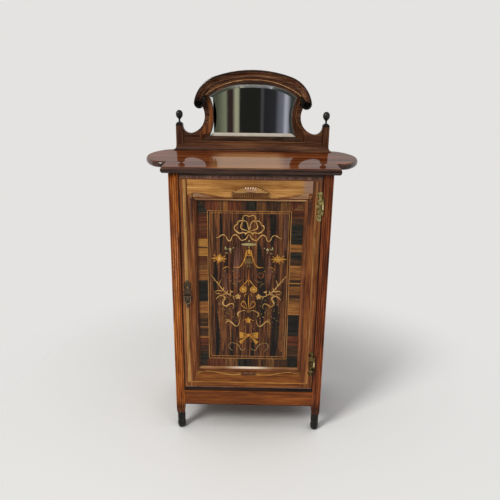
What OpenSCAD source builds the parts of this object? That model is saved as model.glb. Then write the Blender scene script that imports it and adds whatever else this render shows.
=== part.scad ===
// Music cabinet: a framed carcase on four feet, one inlaid door hung on the right,
// and a lobed top board that carries a mirrored upstand under an arched hood.
// Millimetres, +Z up, the front looks towards -Y, origin on the floor below the middle.

/* [Carcase] */
// Width over the posts
body_w = 538; // [516:1:560]
// Depth over the posts
body_d = 347; // [320:1:380]
// Height of the underside of the top board above the floor
carcase_h = 985.5; // [960:0.5:1020]
// Height of the rails' lower edges above the floor
rail_z = 107.5; // [95:0.5:125]
// Height of the carcase rails
rail_h = 60; // [50:1:75]
// Thickness of the carcase rails
rail_t = 20; // [18:0.5:22]
// Length of a carcase tenon
tenon_l = 14; // [8:1:14]
// Thickness of a carcase tenon
tenon_t = 6; // [5:0.5:6]
// Shoulder left above and below a tenon
shoulder = 8; // [4:1:14]
// Setback of the side rails from the posts' outer faces
side_set = 3; // [1:0.5:5]
// Thickness of the side panels
side_t = 8; // [6:0.5:9]
// Depth of the grooves that hold the side panels
groove_d = 6; // [4:0.5:8]
// Thickness of the back panel
back_t = 8; // [6:0.5:10]
// Width of the rebates that hold the back panel
rebate_w = 10; // [6:1:14]
// Height of the ebonised bead below the door, and of the floor board behind it
bead_h = 14.5; // [12:0.5:18]
// Projection of the bead in front of the posts
bead_out = 1; // [0.5:0.5:3]
// Thickness of the top rail that the door closes against
kicker_t = 20; // [16:1:24]
// Width of the top rail from front to back
kicker_w = 50; // [40:1:70]
// Side of a glue block
block_s = 20; // [14:1:24]
// Length of a glue block
block_l = 60; // [40:1:80]

/* [Posts and feet] */
// Side of a square post
post_s = 31; // [30:0.5:34]
// Width of a post where it meets its foot
post_toe = 27; // [24:0.5:29]
// Height of the taper above the foot
taper_h = 18; // [10:1:26]
// Width of the reeded band on a front post
reed_band = 23; // [18:1:26]
// Depth of the reeded band
reed_d = 2; // [1:0.25:3]
// Plain length between the taper and the reeds
reed_stop = 6; // [3:1:12]
// Height of a turned foot
foot_h = 69; // [60:1:80]
// Radius of a turned foot
foot_r = 13.5; // [11.5:0.25:13.5]
// Radius of the bead rings on a foot
ring_r = 2.2; // [1.5:0.1:2.6]
// Distance between the bead rings
ring_pitch = 9; // [7:0.5:10]
// Radius of the pin that joins a foot to its post
foot_pin_r = 8; // [6:0.5:9]
// Length of that pin
foot_pin_l = 25; // [15:1:30]

/* [Shelves] */
// Thickness of a shelf
shelf_t = 10; // [8:0.5:14]
// Width and height of a shelf bearer
bearer_s = 12; // [8:0.5:13]
// Clearance round a shelf
shelf_gap = 1; // [0.5:0.1:1.5]

/* [Top board] */
// Thickness of the top board
top_t = 21.5; // [18:0.5:26]
// Width over the two lobes
top_w = 754; // [700:1:800]
// Width of the straight front of the board
top_front_w = 583; // [572:1:600]
// Overhang of the nose in front of the posts
front_over = 18; // [14:1:24]
// Overhang behind the posts
rear_over = 8; // [6:0.5:14]
// Distance of the notch behind the front of the nose
notch_y = 98; // [84:1:120]
// Radius of the lobes' tight ends
lobe_r = 55; // [40:1:70]

/* [Door] */
// Thickness of the door frame
door_t = 22; // [20:0.5:26]
// Setback of the door from the posts' front faces
door_set = 1; // [0.5:0.25:2]
// Gap round the door
door_gap = 1.5; // [1:0.25:2]
// Width of a stile
stile_w = 46.5; // [42:0.5:52]
// Height of the door's top rail
door_top_h = 79; // [75:1:90]
// Height of the door's bottom rail
door_foot_h = 70; // [60:1:80]
// Length of the door rails' tenons
door_tenon_l = 28; // [20:1:34]
// Thickness of the door rails' tenons
door_tenon_t = 7; // [5:0.5:9]
// Thickness of the inlaid panel
panel_t = 8; // [6:0.5:8.5]
// Setback of the panel's face from the frame's face
panel_set = 11; // [9:0.5:12]
// Depth of the panel groove
panel_groove = 7; // [5:0.5:9]
// Width of the moulding round the panel
mould_w = 13; // [12:0.5:18]
// Height of the moulding's outer bead above the frame
mould_out = 2.4; // [1.5:0.1:3.5]

/* [Door carvings] */
// Width of the carved fan
fan_w = 124; // [100:1:140]
// Height of the carved fan
fan_h = 22; // [16:1:24]
// Relief of the fan and its plinth
fan_t = 5; // [3:0.5:7]
// Height of the fluted plinth below the fan
plinth_h = 12; // [9:0.5:14]
// Distance of the plinth above the moulding
plinth_up = 3; // [2:0.5:5]
// Radius of a corner ball
ball_r = 7; // [4:0.25:7.5]
// Length of the reeded leaves beside a corner ball
leaf_l = 105; // [80:1:120]
// Length of the carved drops below a corner ball
drop_l = 96; // [50:1:110]
// Relief of the leaves, the drops and the scroll
leaf_t = 3; // [2:0.25:4]
// Distance of the carved scroll's ends inside the moulding's outer edge
scroll_in = 4; // [2:0.5:20]
// Width of the block in the middle of the scroll
scroll_block_w = 56; // [40:1:70]
// Height of that block
scroll_block_h = 15; // [12:0.5:20]

/* [Hinges] */
// Length of a hinge plate
hinge_l = 100; // [84:1:112]
// Width of a hinge plate on the door
hinge_plate_w = 17.5; // [15:0.5:18]
// Thickness of the hinge leaves
leaf_thick = 1.5; // [1.2:0.1:1.8]
// Distance of a hinge's middle from the door's end
hinge_end = 105; // [90:1:150]
// Radius of the knuckles
knuckle_r = 3.2; // [2.8:0.1:3.6]
// Length of the knuckles together
knuckle_l = 54; // [42:1:66]
// Radius of a hinge pin
pin_r = 1.5; // [1.3:0.05:1.7]
// Running clearance round a hinge pin
pin_fit = 0.05; // [0.03:0.01:0.08]
// Width of the leaf let into the post
post_leaf_w = 20; // [16:1:24]
// Radius of the heads of the hinge screws
screw_head_r = 2.1; // [1.8:0.1:2.4]

/* [Lock] */
// Height of the keyhole above the floor
lock_z = 584; // [540:1:640]
// Distance of the keyhole from the door's edge
backset = 20; // [18:0.5:22]
// Width of the lock case
case_w = 34; // [32:0.5:38]
// Height of the lock case
case_h = 50; // [40:1:60]
// Depth of the lock case
case_d = 10; // [9:0.5:12]
// Wall of the lock case
case_wall = 1.5; // [1:0.1:1.8]
// Height of the bolt
bolt_h = 12; // [9:0.5:16]
// Throw of the bolt
bolt_throw = 8; // [6:0.5:9]
// Clearance round the bolt
bolt_fit = 0.3; // [0.2:0.05:0.4]
// Play of the bolt in the strike plate
strike_play = 1; // [0.6:0.1:1.5]
// Height of the strike plate
strike_h = 40; // [34:1:50]
// Radius of the keyhole's eye
key_r = 2.6; // [2:0.1:2.9]

/* [Escutcheon and drop handle] */
// Height of the escutcheon
esc_h = 104; // [96:1:110]
// Thickness of the escutcheon
esc_t = 1.6; // [1.2:0.1:2]
// Distance of the handle's pivot below the keyhole
pivot_down = 32; // [28:1:36]
// Distance of the pivot from the escutcheon's face
pivot_out = 5; // [4.6:0.1:6.5]
// Radius of the pivot rod
rod_r = 1.5; // [1.2:0.05:1.7]
// Clearance of the rod in its posts
rod_fit = 0.08; // [0.04:0.01:0.1]
// Half width of the bail, to the middle of its arm
bail_half = 10.5; // [10:0.25:12]
// Length of the bail's straight arms
bail_arm = 17; // [12:1:22]
// Radius of the bail's wire
bail_r = 1.8; // [1.5:0.1:2.1]

/* [Upstand] */
// Width of the upstand over its posts
up_w = 575; // [560:1:580]
// Setback of the upstand from the rear edge of the top board
up_set = 2; // [1:0.5:4]
// Thickness of the upstand board
up_t = 19; // [17:0.5:20]
// Projection of the upstand's posts in front of its board
up_proud = 3; // [1:0.5:5]
// Width of an upstand post
up_post_w = 26; // [22:0.5:28]
// Height of an upstand post's top above the top board
up_post_h = 94; // [88:1:110]
// Height of the plinth
base_h = 24; // [18:0.5:26]
// Projection of the plinth's cavetto
base_out = 10; // [6:0.5:12]
// Height of the hood's crown above the top board
crown_h = 293; // [290:0.5:300]
// Radius of the hood's haunches
haunch_r = 118; // [114:0.5:121]
// Half distance between the centres of the haunches
haunch_x = 100; // [94:0.5:104]
// Height of the haunches' centres above the top board
haunch_z = 158.5; // [154:0.5:161]
// Angle at which the hood ends in its scroll
hood_end = 80; // [76:0.5:82]
// Radius of the scrolls
scroll_r = 20; // [18:0.5:21]
// Width of the hood moulding
hood_w = 26; // [22:0.5:28]
// Projection of the hood moulding
hood_out = 22; // [16:0.5:28]
// Overlap of the hood past the board's edge
hood_lip = 0.6; // [0.3:0.1:2]
// Radius of the scallops' inner arcs
scallop_r = 66.5; // [64:0.5:69]
// Radius of the scallops' arcs beside the posts
hollow_r = 28; // [26:0.5:30]
// Height of the hollow arcs' centres above the top board
hollow_z = 91.5; // [89:0.5:93]

/* [Mirror] */
// Half width of the mirror's sight at its lower corners
sight_half = 163; // [158:0.5:166]
// Height of the sight's lower edge above the top board
sight_z = 54.3; // [52:0.1:58]
// Height of the sight's crown above the top board
sight_crown = 242.8; // [242.5:0.1:243.5]
// Radius of the sight's upper haunches
sight_r = 220.4; // [219:0.1:220.6]
// Half distance between those haunches' centres
sight_haunch_x = 31; // [28:0.5:34]
// Height of those haunches' centres above the top board
sight_haunch_z = 21.2; // [20:0.1:21.4]
// Radius of the sight's hollow sides
side_hollow_r = 168; // [160:1:180]
// Depth of the hollow sides
side_hollow = 16; // [13:0.5:17]
// Thickness of the mirror glass
glass_t = 5; // [4:0.25:6]
// Width of the bevel that shows
bevel_w = 12; // [8:0.5:16]
// Depth of the bevel
bevel_d = 1.6; // [1:0.1:2.2]
// Cover of the rebate round the glass
rebate_cover = 8; // [6:0.5:9]
// Thickness of the backboard behind the glass
backboard_t = 5; // [4:0.25:6]
// Cover of the rebate that holds the backboard
backboard_cover = 19; // [16:0.5:21]
// Radius of the upstand's dowels
dowel_r = 5; // [4:0.25:5.5]
// Depth of a dowel in the top board
dowel_in = 12; // [8:0.5:14]
// Depth of a dowel in the upstand
dowel_up = 10; // [8:0.5:11]

/* [Finials] */
// Height of a finial above its post
finial_h = 54; // [46:1:62]
// Radius of a finial's ball
finial_r = 13; // [11:0.25:14]
// Radius of a finial's neck
neck_r = 3.4; // [2.6:0.1:4.2]
// Radius of the pin below a finial
finial_pin_r = 4; // [3:0.25:5]
// Length of that pin
finial_pin_l = 15; // [10:1:20]

/* [Hidden] */
$fn = 96;

eps = 1;
glue_fit = 0.05;

// Front and rear faces of the posts, the inner faces of the posts, and the rails' places
top_d = front_over + body_d + rear_over;
y_front = -top_d / 2 + front_over;
y_back = y_front + body_d;
post_in = body_w / 2 - post_s;
post_mid = body_w / 2 - post_s / 2;
side_x1 = body_w / 2 - side_set;
side_x0 = side_x1 - rail_t;
side_panel_x0 = side_x0 + (rail_t - side_t) / 2;
side_panel_x1 = side_panel_x0 + side_t;
panel_back_y = y_back - back_t;
floor_z = rail_z + rail_h + bead_h;
taper_top = foot_h + taper_h;
reeds = 3;
reed_pitch = reed_band / reeds;
reed_r = reed_pitch * 0.52;

// The door's outer faces and the edges of its opening
door_x = post_in - door_gap;
door_y0 = y_front + door_set;
door_y1 = door_y0 + door_t;
door_z0 = floor_z + door_gap;
door_z1 = carcase_h - door_gap;
open_x = door_x - stile_w;
open_z0 = door_z0 + door_foot_h;
open_z1 = door_z1 - door_top_h;
panel_y0 = door_y0 + panel_set;
door_tenon_y = door_y0 + (door_t - door_tenon_t) / 2;
stop_gap = 1;
kicker_y0 = door_y1 + stop_gap;

// Shelves are spaced evenly between the floor board and the top rail
shelf_count = 5;
shelf_y0 = door_y1 + 3;
shelf_clear = (carcase_h - kicker_t - floor_z - shelf_count * shelf_t) / (shelf_count + 1);
function shelf_z(i) = floor_z + i * shelf_clear + (i - 1) * shelf_t;

// The hinge axis lies in front of the gap, so that the door swings clear of its post
axis_x = post_in - door_gap / 2;
axis_y = y_front - knuckle_r - 0.4;
plate_x1 = axis_x - knuckle_r - 0.5;
plate_x0 = plate_x1 - hinge_plate_w;
plate_y0 = door_y0 - leaf_thick;
knuckle_gap = 0.3;
hinge_zs = [door_z0 + hinge_end, door_z1 - hinge_end];
screw_zs = [-0.42, -0.16, 0.16, 0.42] * hinge_l;
screw_x = plate_x0 + hinge_plate_w * 0.62;
screw_shank_r = 1.2;
screw_l = 10;

// The keyhole, and the bolt that slides towards the left post
key_x = -door_x + backset;
case_x0 = -door_x;
case_y0 = door_y1 - case_d;
bolt_y0 = case_y0 + case_wall + bolt_fit;
bolt_y1 = door_y1 - case_wall - bolt_fit;
bolt_z = lock_z - bolt_h / 2;
bolt_l = case_w - case_wall - bolt_throw - 0.6;
strike_t = 1.5;
strike_rim = 4;
strike_w = bolt_y1 - bolt_y0 + 2 * (strike_play + strike_rim);
pivot_z = lock_z - pivot_down;
esc_y0 = door_y0 - esc_t;
rod_y = esc_y0 - pivot_out;
post_half = 5;
handle_post_r = 2.6;

// The upstand stands on the top board
deck_z = carcase_h + top_t;
up_y1 = top_d / 2 - up_set;
up_y0 = up_y1 - up_t;
up_post_y0 = up_y0 - up_proud;
up_in = up_w / 2 - up_post_w;
up_post_x = up_w / 2 - up_post_w / 2;
base_top = deck_z + base_h;
up_post_top = deck_z + up_post_h;
crown_z = deck_z + crown_h;
haunch_c = deck_z + haunch_z;
scroll_x = haunch_x + (haunch_r - scroll_r) * sin(hood_end);
scroll_z = haunch_c + (haunch_r - scroll_r) * cos(hood_end);
hollow_c = [up_in - hollow_r, deck_z + hollow_z];
scallop_tilt = 17.5;
scallop_c = hollow_c + (scallop_r - hollow_r) * [sin(scallop_tilt), cos(scallop_tilt)];
dowel_xs = [for (x = [0.27 * up_in, 0.73 * up_in, up_post_x]) each [-x, x]];
dowel_y = up_y1 - up_t / 2;
tongue_t = 6;
tongue_l = 5;

// The mirror's sight is an arch over hollow sides
glass_y0 = up_y1 - backboard_t - glass_t;
sight_bottom = deck_z + sight_z;
sight_hc = deck_z + sight_haunch_z;
sight_top = deck_z + sight_crown;
glass_edge = rebate_cover - 1;
function across(dx, r) = sqrt(r * r - dx * dx);
sight_corner_z = sight_hc + across(sight_half - sight_haunch_x, sight_r);
side_mid_z = (sight_bottom + sight_corner_z) / 2;
side_c = [sight_half - side_hollow + side_hollow_r, side_mid_z];

// A block given by its limits along each axis
module span(x, y, z) {
    translate([x[0], y[0], z[0]]) cube([x[1] - x[0], y[1] - y[0], z[1] - z[0]]);
}

module both_sides() {
    children();
    mirror([1, 0, 0]) children();
}

// A solid through outlines of equal length, anticlockwise as seen from the last one.
// The caps of a symmetric outline are cut into strips from one half to the other.
module skin(rings, cuts = []) {
    n = len(rings[0]);
    m = len(rings);
    sides = [for (k = [0:m - 2], i = [0:n - 1])
        let (a = k * n + i, b = k * n + (i + 1) % n, c = b + n, d = a + n) each [[a, d, c], [a, c, b]]];
    strips = len(cuts) == 0 ? [[for (i = [0:n - 1]) i]]
        : [for (k = [0:len(cuts) - 2]) concat([for (i = [cuts[k]:cuts[k + 1]]) i],
            [for (i = [cuts[k + 1]:-1:cuts[k]]) if (n - 1 - i != cuts[k + 1]) n - 1 - i])];
    caps = [for (s = strips) each [s, [for (i = [len(s) - 1:-1:0]) (m - 1) * n + s[i]]]];
    polyhedron([for (r = rings) each r], concat(caps, sides), convexity = 8);
}

// Points of an arc about c, from angle a to angle b in n steps, anticlockwise from +X
function arc(c, r, a, b, n) =
    [for (i = [0:n]) let (t = a + (b - a) * i / n) [c[0] + r * cos(t), c[1] + r * sin(t)]];

// The radius of the crown arc that meets two haunches of radius r at x smoothly
function crown_r(x, rise, r) = (x * x + rise * rise - r * r) / (2 * (rise - r));

// A whole outline from its right half, which starts below and ends beside the middle
function with_left(half, middle) = concat(half, middle,
    [for (i = [len(half) - 1:-1:0]) [-half[i][0], half[i][1]]]);

// Tenons, shared with the mortises that take them
module rail_tenons(y0, z0) {
    span([-post_in - tenon_l, post_in + tenon_l],
        [y0 + (rail_t - tenon_t) / 2, y0 + (rail_t + tenon_t) / 2],
        [z0 + shoulder, z0 + rail_h - shoulder]);
}

module side_tenons(z0) {
    span([side_x0 + (rail_t - tenon_t) / 2, side_x0 + (rail_t + tenon_t) / 2],
        [y_front + post_s - tenon_l, y_back - post_s + tenon_l],
        [z0 + shoulder, z0 + rail_h - shoulder]);
}

module taper_cuts() {
    for (a = [0:90:270]) rotate([0, 0, a]) rotate([90, 0, 0])
        linear_extrude(post_s + 2 * eps, center = true)
            polygon([[post_toe / 2, foot_h - eps], [post_s / 2 + eps, foot_h - eps],
                [post_s / 2 + eps, taper_top], [post_s / 2, taper_top], [post_toe / 2, foot_h]]);
}

module reed_section() {
    difference() {
        square(post_s, center = true);
        translate([-reed_band / 2, -post_s / 2 - eps]) square([reed_band, reed_d + eps]);
    }
    for (i = [0:reeds - 1]) translate([(i - (reeds - 1) / 2) * reed_pitch, reed_r - post_s / 2])
        circle(reed_r);
}

module post_blank(reeded) {
    reed_z = taper_top + reed_stop;
    difference() {
        union() {
            translate([0, 0, foot_h]) linear_extrude((reeded ? reed_z : carcase_h) - foot_h)
                square(post_s, center = true);
            if (reeded) translate([0, 0, reed_z]) linear_extrude(carcase_h - reed_z) reed_section();
        }
        taper_cuts();
        translate([0, 0, foot_h - eps]) cylinder(r = foot_pin_r + glue_fit, h = foot_pin_l + eps);
    }
}

module side_joints() {
    side_tenons(rail_z);
    side_tenons(carcase_h - rail_h);
    span([side_panel_x0, side_panel_x1], [y_front + post_s - groove_d, y_back - post_s + groove_d],
        [rail_z + rail_h - groove_d, carcase_h - rail_h + groove_d]);
}

module front_post(side) {
    color("sienna") difference() {
        translate([side * post_mid, y_front + post_s / 2, 0]) post_blank(true);
        mirror([side < 0 ? 1 : 0, 0, 0]) side_joints();
        rail_tenons(door_y0, rail_z);
        if (side > 0) for (z = hinge_zs) translate([post_in, y_front - eps, z - knuckle_l / 2])
            cube([leaf_thick, post_leaf_w + eps, knuckle_l]);
        if (side < 0) {
            strike_plate_body();
            strike_slot(bolt_throw + strike_play);
        }
    }
}

module rear_post(side) {
    color("sienna") difference() {
        translate([side * post_mid, y_back - post_s / 2, 0]) post_blank(false);
        mirror([side < 0 ? 1 : 0, 0, 0]) side_joints();
        rail_tenons(panel_back_y - rail_t, rail_z);
        rail_tenons(panel_back_y - rail_t, carcase_h - rail_h);
        span([-post_in - rebate_w, post_in + rebate_w], [panel_back_y, y_back + eps],
            [rail_z, carcase_h + eps]);
    }
}

// A turned, ebonised foot: a swelling toe below three bead rings, with a pin above
module foot(side, y) {
    toe_h = foot_h * 0.49;
    toe_curve = 3 * foot_r;
    collar_h = foot_h * 0.1;
    color("#23211f") translate([side * post_mid, y, 0]) rotate_extrude() intersection() {
        union() {
            intersection() {
                translate([foot_r - toe_curve, toe_h / 2]) circle(toe_curve, $fn = 160);
                square([foot_r + eps, toe_h]);
            }
            translate([0, toe_h]) square([foot_r - ring_r, foot_h - toe_h]);
            for (i = [0:2]) translate([foot_r - ring_r, toe_h + ring_r + i * ring_pitch])
                circle(ring_r, $fn = 32);
            translate([0, foot_h - collar_h]) square([foot_r - ring_r / 3, collar_h]);
            square([foot_pin_r, foot_h + foot_pin_l]);
        }
        square([foot_r + eps, foot_h + foot_pin_l + eps]);
    }
}

module front_bottom_rail() {
    color("sienna") {
        span([-post_in, post_in], [door_y0, door_y0 + rail_t], [rail_z, rail_z + rail_h]);
        rail_tenons(door_y0, rail_z);
    }
}

// The ebonised bead has a half-round nose just in front of the posts
module bottom_bead() {
    nose_r = bead_h / 2;
    color("#1d1b1a") translate([0, 0, rail_z + rail_h + nose_r]) rotate([0, 90, 0])
        linear_extrude(2 * post_in, center = true) {
            translate([0, y_front - bead_out + nose_r]) circle(nose_r);
            translate([-nose_r, y_front - bead_out + nose_r])
                square([bead_h, door_y1 - y_front + bead_out - nose_r]);
        }
}

module front_top_rail() {
    color("peru") difference() {
        span([-side_x0, side_x0], [kicker_y0, kicker_y0 + kicker_w], [carcase_h - kicker_t, carcase_h]);
        both_sides() span([post_in, side_x0 + eps], [kicker_y0 - eps, y_front + post_s],
            [carcase_h - kicker_t - eps, carcase_h + eps]);
    }
}

module rear_rail(z0) {
    y0 = panel_back_y - rail_t;
    color("peru") {
        span([-post_in, post_in], [y0, panel_back_y], [z0, z0 + rail_h]);
        rail_tenons(y0, z0);
    }
}

module side_rail(side, z0) {
    color("sienna") mirror([side < 0 ? 1 : 0, 0, 0]) difference() {
        union() {
            span([side_x0, side_x1], [y_front + post_s, y_back - post_s], [z0, z0 + rail_h]);
            side_tenons(z0);
        }
        span([side_panel_x0, side_panel_x1], [y_front, y_back],
            [rail_z + rail_h - groove_d, carcase_h - rail_h + groove_d]);
    }
}

module side_panel(side) {
    color("saddlebrown") mirror([side < 0 ? 1 : 0, 0, 0])
        span([side_panel_x0, side_panel_x1],
            [y_front + post_s - groove_d, y_back - post_s + groove_d],
            [rail_z + rail_h - groove_d, carcase_h - rail_h + groove_d]);
}

module back_panel() {
    color("burlywood") span([-post_in - rebate_w, post_in + rebate_w], [panel_back_y, y_back],
        [rail_z, carcase_h]);
}

// The floor board rests on the rails and is notched round the posts
module bottom_board() {
    color("peru") difference() {
        span([-side_panel_x0, side_panel_x0], [door_y1, panel_back_y], [rail_z + rail_h, floor_z]);
        both_sides() {
            span([post_in, side_x1], [door_y1 - eps, y_front + post_s], [rail_z, floor_z + eps]);
            span([post_in, side_x1], [y_back - post_s, panel_back_y + eps], [rail_z, floor_z + eps]);
        }
    }
}

// A shelf is notched round the posts, so that its sides lie on the bearers
module shelf(i) {
    z = [shelf_z(i), shelf_z(i) + shelf_t];
    color("peru") difference() {
        span([shelf_gap - side_panel_x0, side_panel_x0 - shelf_gap],
            [shelf_y0, panel_back_y - shelf_gap], z);
        both_sides() {
            span([post_in - shelf_gap, side_x1], [y_front, y_front + post_s + shelf_gap], z + [-eps, eps]);
            span([post_in - shelf_gap, side_x1], [y_back - post_s - shelf_gap, y_back], z + [-eps, eps]);
        }
    }
}

// The bearers lie against the side panels, between the front and rear posts
module shelf_bearers() {
    color("burlywood") for (i = [1:shelf_count]) both_sides()
        span([side_panel_x0 - bearer_s, side_panel_x0], [y_front + post_s, y_back - post_s],
            [shelf_z(i) - bearer_s, shelf_z(i)]);
}

// Glue blocks hold the top board to the side rails and the rear rail
module glue_blocks() {
    z = [carcase_h - block_s, carcase_h];
    rear_y = panel_back_y - rail_t;
    color("burlywood") both_sides() {
        for (y = [-0.12, 0.2] * body_d)
            span([side_x0 - block_s, side_x0], [y - block_l / 2, y + block_l / 2], z);
        span([body_w * 0.16, body_w * 0.16 + block_l], [rear_y - block_s, rear_y], z);
    }
}

// Half of the board's outline, from the front corner round the lobe to the rear edge.
// The lobe is an arch of three arcs that starts with a short flat beside the notch.
notch_flat = 4;
function lobe_side(inset) =
    let (fw = top_front_w / 2, cx = fw + notch_flat, b = top_w / 2 - cx, yn = -top_d / 2 + notch_y,
        a = (top_d / 2 - yn) / 2, ym = yn + a,
        h = ((a - lobe_r) ^ 2 - (b - lobe_r) ^ 2) / (2 * (b - lobe_r)),
        turn = atan2(a - lobe_r, h))
    concat([[fw - inset, inset - top_d / 2], [fw - inset, yn + inset]],
        arc([cx, yn + lobe_r], lobe_r - inset, -90, -turn, 7),
        [for (i = [1:15]) let (t = turn * (2 * i / 16 - 1), r = b + h - inset)
            [cx - h + r * cos(t), ym + r * sin(t)]],
        [for (i = [0:7]) let (t = turn + (90 - turn) * i / 7, r = lobe_r - inset * (1 - i / 7))
            [cx + r * cos(t), top_d / 2 - lobe_r + r * sin(t)]]);

function board_ring(inset, z) =
    let (half = lobe_side(inset), n = len(half))
    concat([for (p = half) [p[0], p[1], z]],
        [for (i = [n - 1:-1:0]) [-half[i][0], half[i][1], z]]);

// The edge is a thumb moulding: a fillet at the top, a nose, and an undercut
nose_edge = [[8, 0], [4.9, 0.04], [2.3, 0.15], [0.6, 0.31], [0, 0.5], [0.4, 0.67], [1.6, 0.81],
    [3.1, 0.84], [3.5, 0.94], [4.5, 1]];

module top_board() {
    color("#4a2414") difference() {
        skin([for (e = nose_edge) board_ring(e[0], carcase_h + e[1] * top_t)],
            concat([0, 1], [for (i = [3:len(lobe_side(0)) - 1]) i]));
        for (x = dowel_xs) translate([x, dowel_y, deck_z - dowel_in])
            cylinder(r = (dowel_r + glue_fit) / cos(7.5), h = dowel_in + eps, $fn = 24);
    }
}

// The plinth is a block with a cavetto along its front and ends
module upstand_plinth() {
    lip = base_h / 8;
    function ring(inset, z) = let (x = up_w / 2 + base_out - inset, y = up_post_y0 - base_out + inset)
        [[-x, y, z], [x, y, z], [x, up_y1, z], [-x, up_y1, z]];
    cove = [for (i = [0:10]) let (t = 9 * i)
        ring(base_out * sin(t), deck_z + lip + (base_h - 2 * lip) * (1 - cos(t)))];
    color("#4a2414") difference() {
        skin(concat([ring(0, deck_z)], cove, [ring(base_out, base_top)]));
        for (x = dowel_xs) translate([x, dowel_y, deck_z - eps])
            cylinder(r = dowel_r + glue_fit, h = base_h + 2 * eps, $fn = 48);
    }
}

hood_cr = crown_r(haunch_x, crown_z - haunch_c, haunch_r);
hood_meet = asin(haunch_x / (hood_cr - haunch_r));
crown_steps = 5;

// The board's outline: a hollow beside each post, a scallop, a neck, the scroll and the hood
function board_outline() =
    let (r = scroll_r - hood_lip, neck = scroll_x - 0.6 * scroll_r,
        neck_a = 180 + acos((scroll_x - neck) / r),
        scallop_a = 180 - asin((scroll_z - 0.98 * scroll_r - scallop_c[1]) / scallop_r))
    with_left(concat([[up_in, base_top]], arc(hollow_c, hollow_r, 360, 270 - scallop_tilt, 12),
        [for (i = [1:14]) let (t = 270 - scallop_tilt + (scallop_a - 270 + scallop_tilt) * i / 14)
            scallop_c + scallop_r * [cos(t), sin(t)]],
        arc([scroll_x, scroll_z], r, neck_a, 450 - hood_end, 16),
        [for (i = [1:18]) let (t = hood_end + (hood_meet - hood_end) * i / 18)
            [haunch_x, haunch_c] + (haunch_r - hood_lip) * [sin(t), cos(t)]]),
        [for (i = [crown_steps - 1:-1:1 - crown_steps]) let (t = hood_meet * i / crown_steps)
            [0, crown_z - hood_cr] + (hood_cr - hood_lip) * [sin(t), cos(t)]]);

// The mirror's sight, grown by a margin: hollow sides, haunches and a crown
function sight_outline(grow) =
    let (r = sight_r + grow, rs = side_hollow_r - grow, zb = sight_bottom - grow,
        xb = side_c[0] - across(side_c[1] - zb, rs),
        cr = crown_r(sight_haunch_x, sight_top - sight_hc, sight_r), meet = asin(sight_haunch_x / (cr - sight_r)),
        d = [side_c[0] - sight_haunch_x, side_c[1] - sight_hc], l = norm(d),
        along = (l * l + r * r - rs * rs) / (2 * l), off = across(along, r),
        top = [sight_haunch_x, sight_hc] + along * d / l + off * [-d[1], d[0]] / l,
        a0 = 360 + atan2(zb - side_c[1], xb - side_c[0]),
        a1 = atan2(top[1] - side_c[1], top[0] - side_c[0]),
        a2 = atan2(top[1] - sight_hc, top[0] - sight_haunch_x))
    with_left(concat(arc(side_c, rs, a0, a1, 10),
        [for (i = [1:14]) let (t = a2 + (90 - meet - a2) * i / 14)
            [sight_haunch_x, sight_hc] + r * [cos(t), sin(t)]]), [[0, sight_top + grow]]);

// Stands a flat outline up in the XZ plane, with its front face at y
module upright(y, thick) {
    translate([0, y + thick, 0]) rotate([90, 0, 0]) linear_extrude(thick) children();
}

module upstand_board() {
    color("#5a2e18") difference() {
        union() {
            upright(up_y0, up_t) polygon(board_outline());
            both_sides() span([up_in - eps, up_in + tongue_l],
                [dowel_y - tongue_t / 2, dowel_y + tongue_t / 2], [base_top, hollow_c[1] - tongue_l]);
        }
        upright(up_y0 - eps, up_t + 2 * eps) polygon(sight_outline(0));
        upright(glass_y0, up_t) polygon(sight_outline(rebate_cover));
        upright(glass_y0 + glass_t, up_t) polygon(sight_outline(backboard_cover));
        backboard_screws_body(glue_fit);
        for (x = dowel_xs) if (abs(x) < up_in) translate([x, dowel_y, base_top - eps])
            cylinder(r = dowel_r + glue_fit, h = dowel_up + eps, $fn = 48);
    }
}

module upstand_post(side) {
    color("#5a2e18") mirror([side < 0 ? 1 : 0, 0, 0]) difference() {
        span([up_in, up_w / 2], [up_post_y0, up_y1], [base_top, up_post_top]);
        span([up_in - eps, up_in + tongue_l],
            [dowel_y - tongue_t / 2, dowel_y + tongue_t / 2], [base_top - eps, hollow_c[1] - tongue_l]);
        translate([up_post_x, dowel_y, base_top - eps])
            cylinder(r = dowel_r + glue_fit, h = dowel_up + eps, $fn = 48);
        translate([up_post_x, (up_post_y0 + up_y1) / 2, up_post_top - finial_pin_l])
            cylinder(r = finial_pin_r + glue_fit, h = finial_pin_l + eps, $fn = 48);
    }
}

// A turned finial: a dome, a thin neck, and an egg-shaped ball
module finial(side) {
    dome_r = up_post_w / 2 - 0.5;
    dome_h = 0.72 * dome_r;
    ball_z = finial_h - finial_r;
    flare = 0.62;
    color("#1d1b1a") translate([side * up_post_x, (up_post_y0 + up_y1) / 2, up_post_top])
        rotate_extrude() {
            intersection() {
                translate([0, dome_h - dome_r]) circle(dome_r);
                square([dome_r, dome_h]);
            }
            square([neck_r, ball_z]);
            polygon([[0, dome_h + neck_r], [neck_r, dome_h + neck_r],
                [finial_r * cos(asin(flare)), ball_z - finial_r * flare], [0, ball_z]]);
            intersection() {
                translate([0, ball_z]) circle(finial_r);
                square([finial_r, finial_h]);
            }
            translate([0, -finial_pin_l]) square([finial_pin_r, finial_pin_l + eps]);
        }
}

// The hood's section: a bead at the outer edge, then a cyma down to the board
hood_section = [[0, 0], [0, 0.86], [0.03, 0.96], [0.1, 1], [0.17, 0.97], [0.21, 0.89], [0.22, 0.83],
    [0.29, 0.81], [0.38, 0.72], [0.47, 0.59], [0.56, 0.44], [0.67, 0.31], [0.8, 0.23], [0.92, 0.2],
    [0.97, 0.15], [1, 0]];
hood_steps = 14;
curl_steps = 16;
curl_end = 300;
curl_w = 0.88 * scroll_r;

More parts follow.
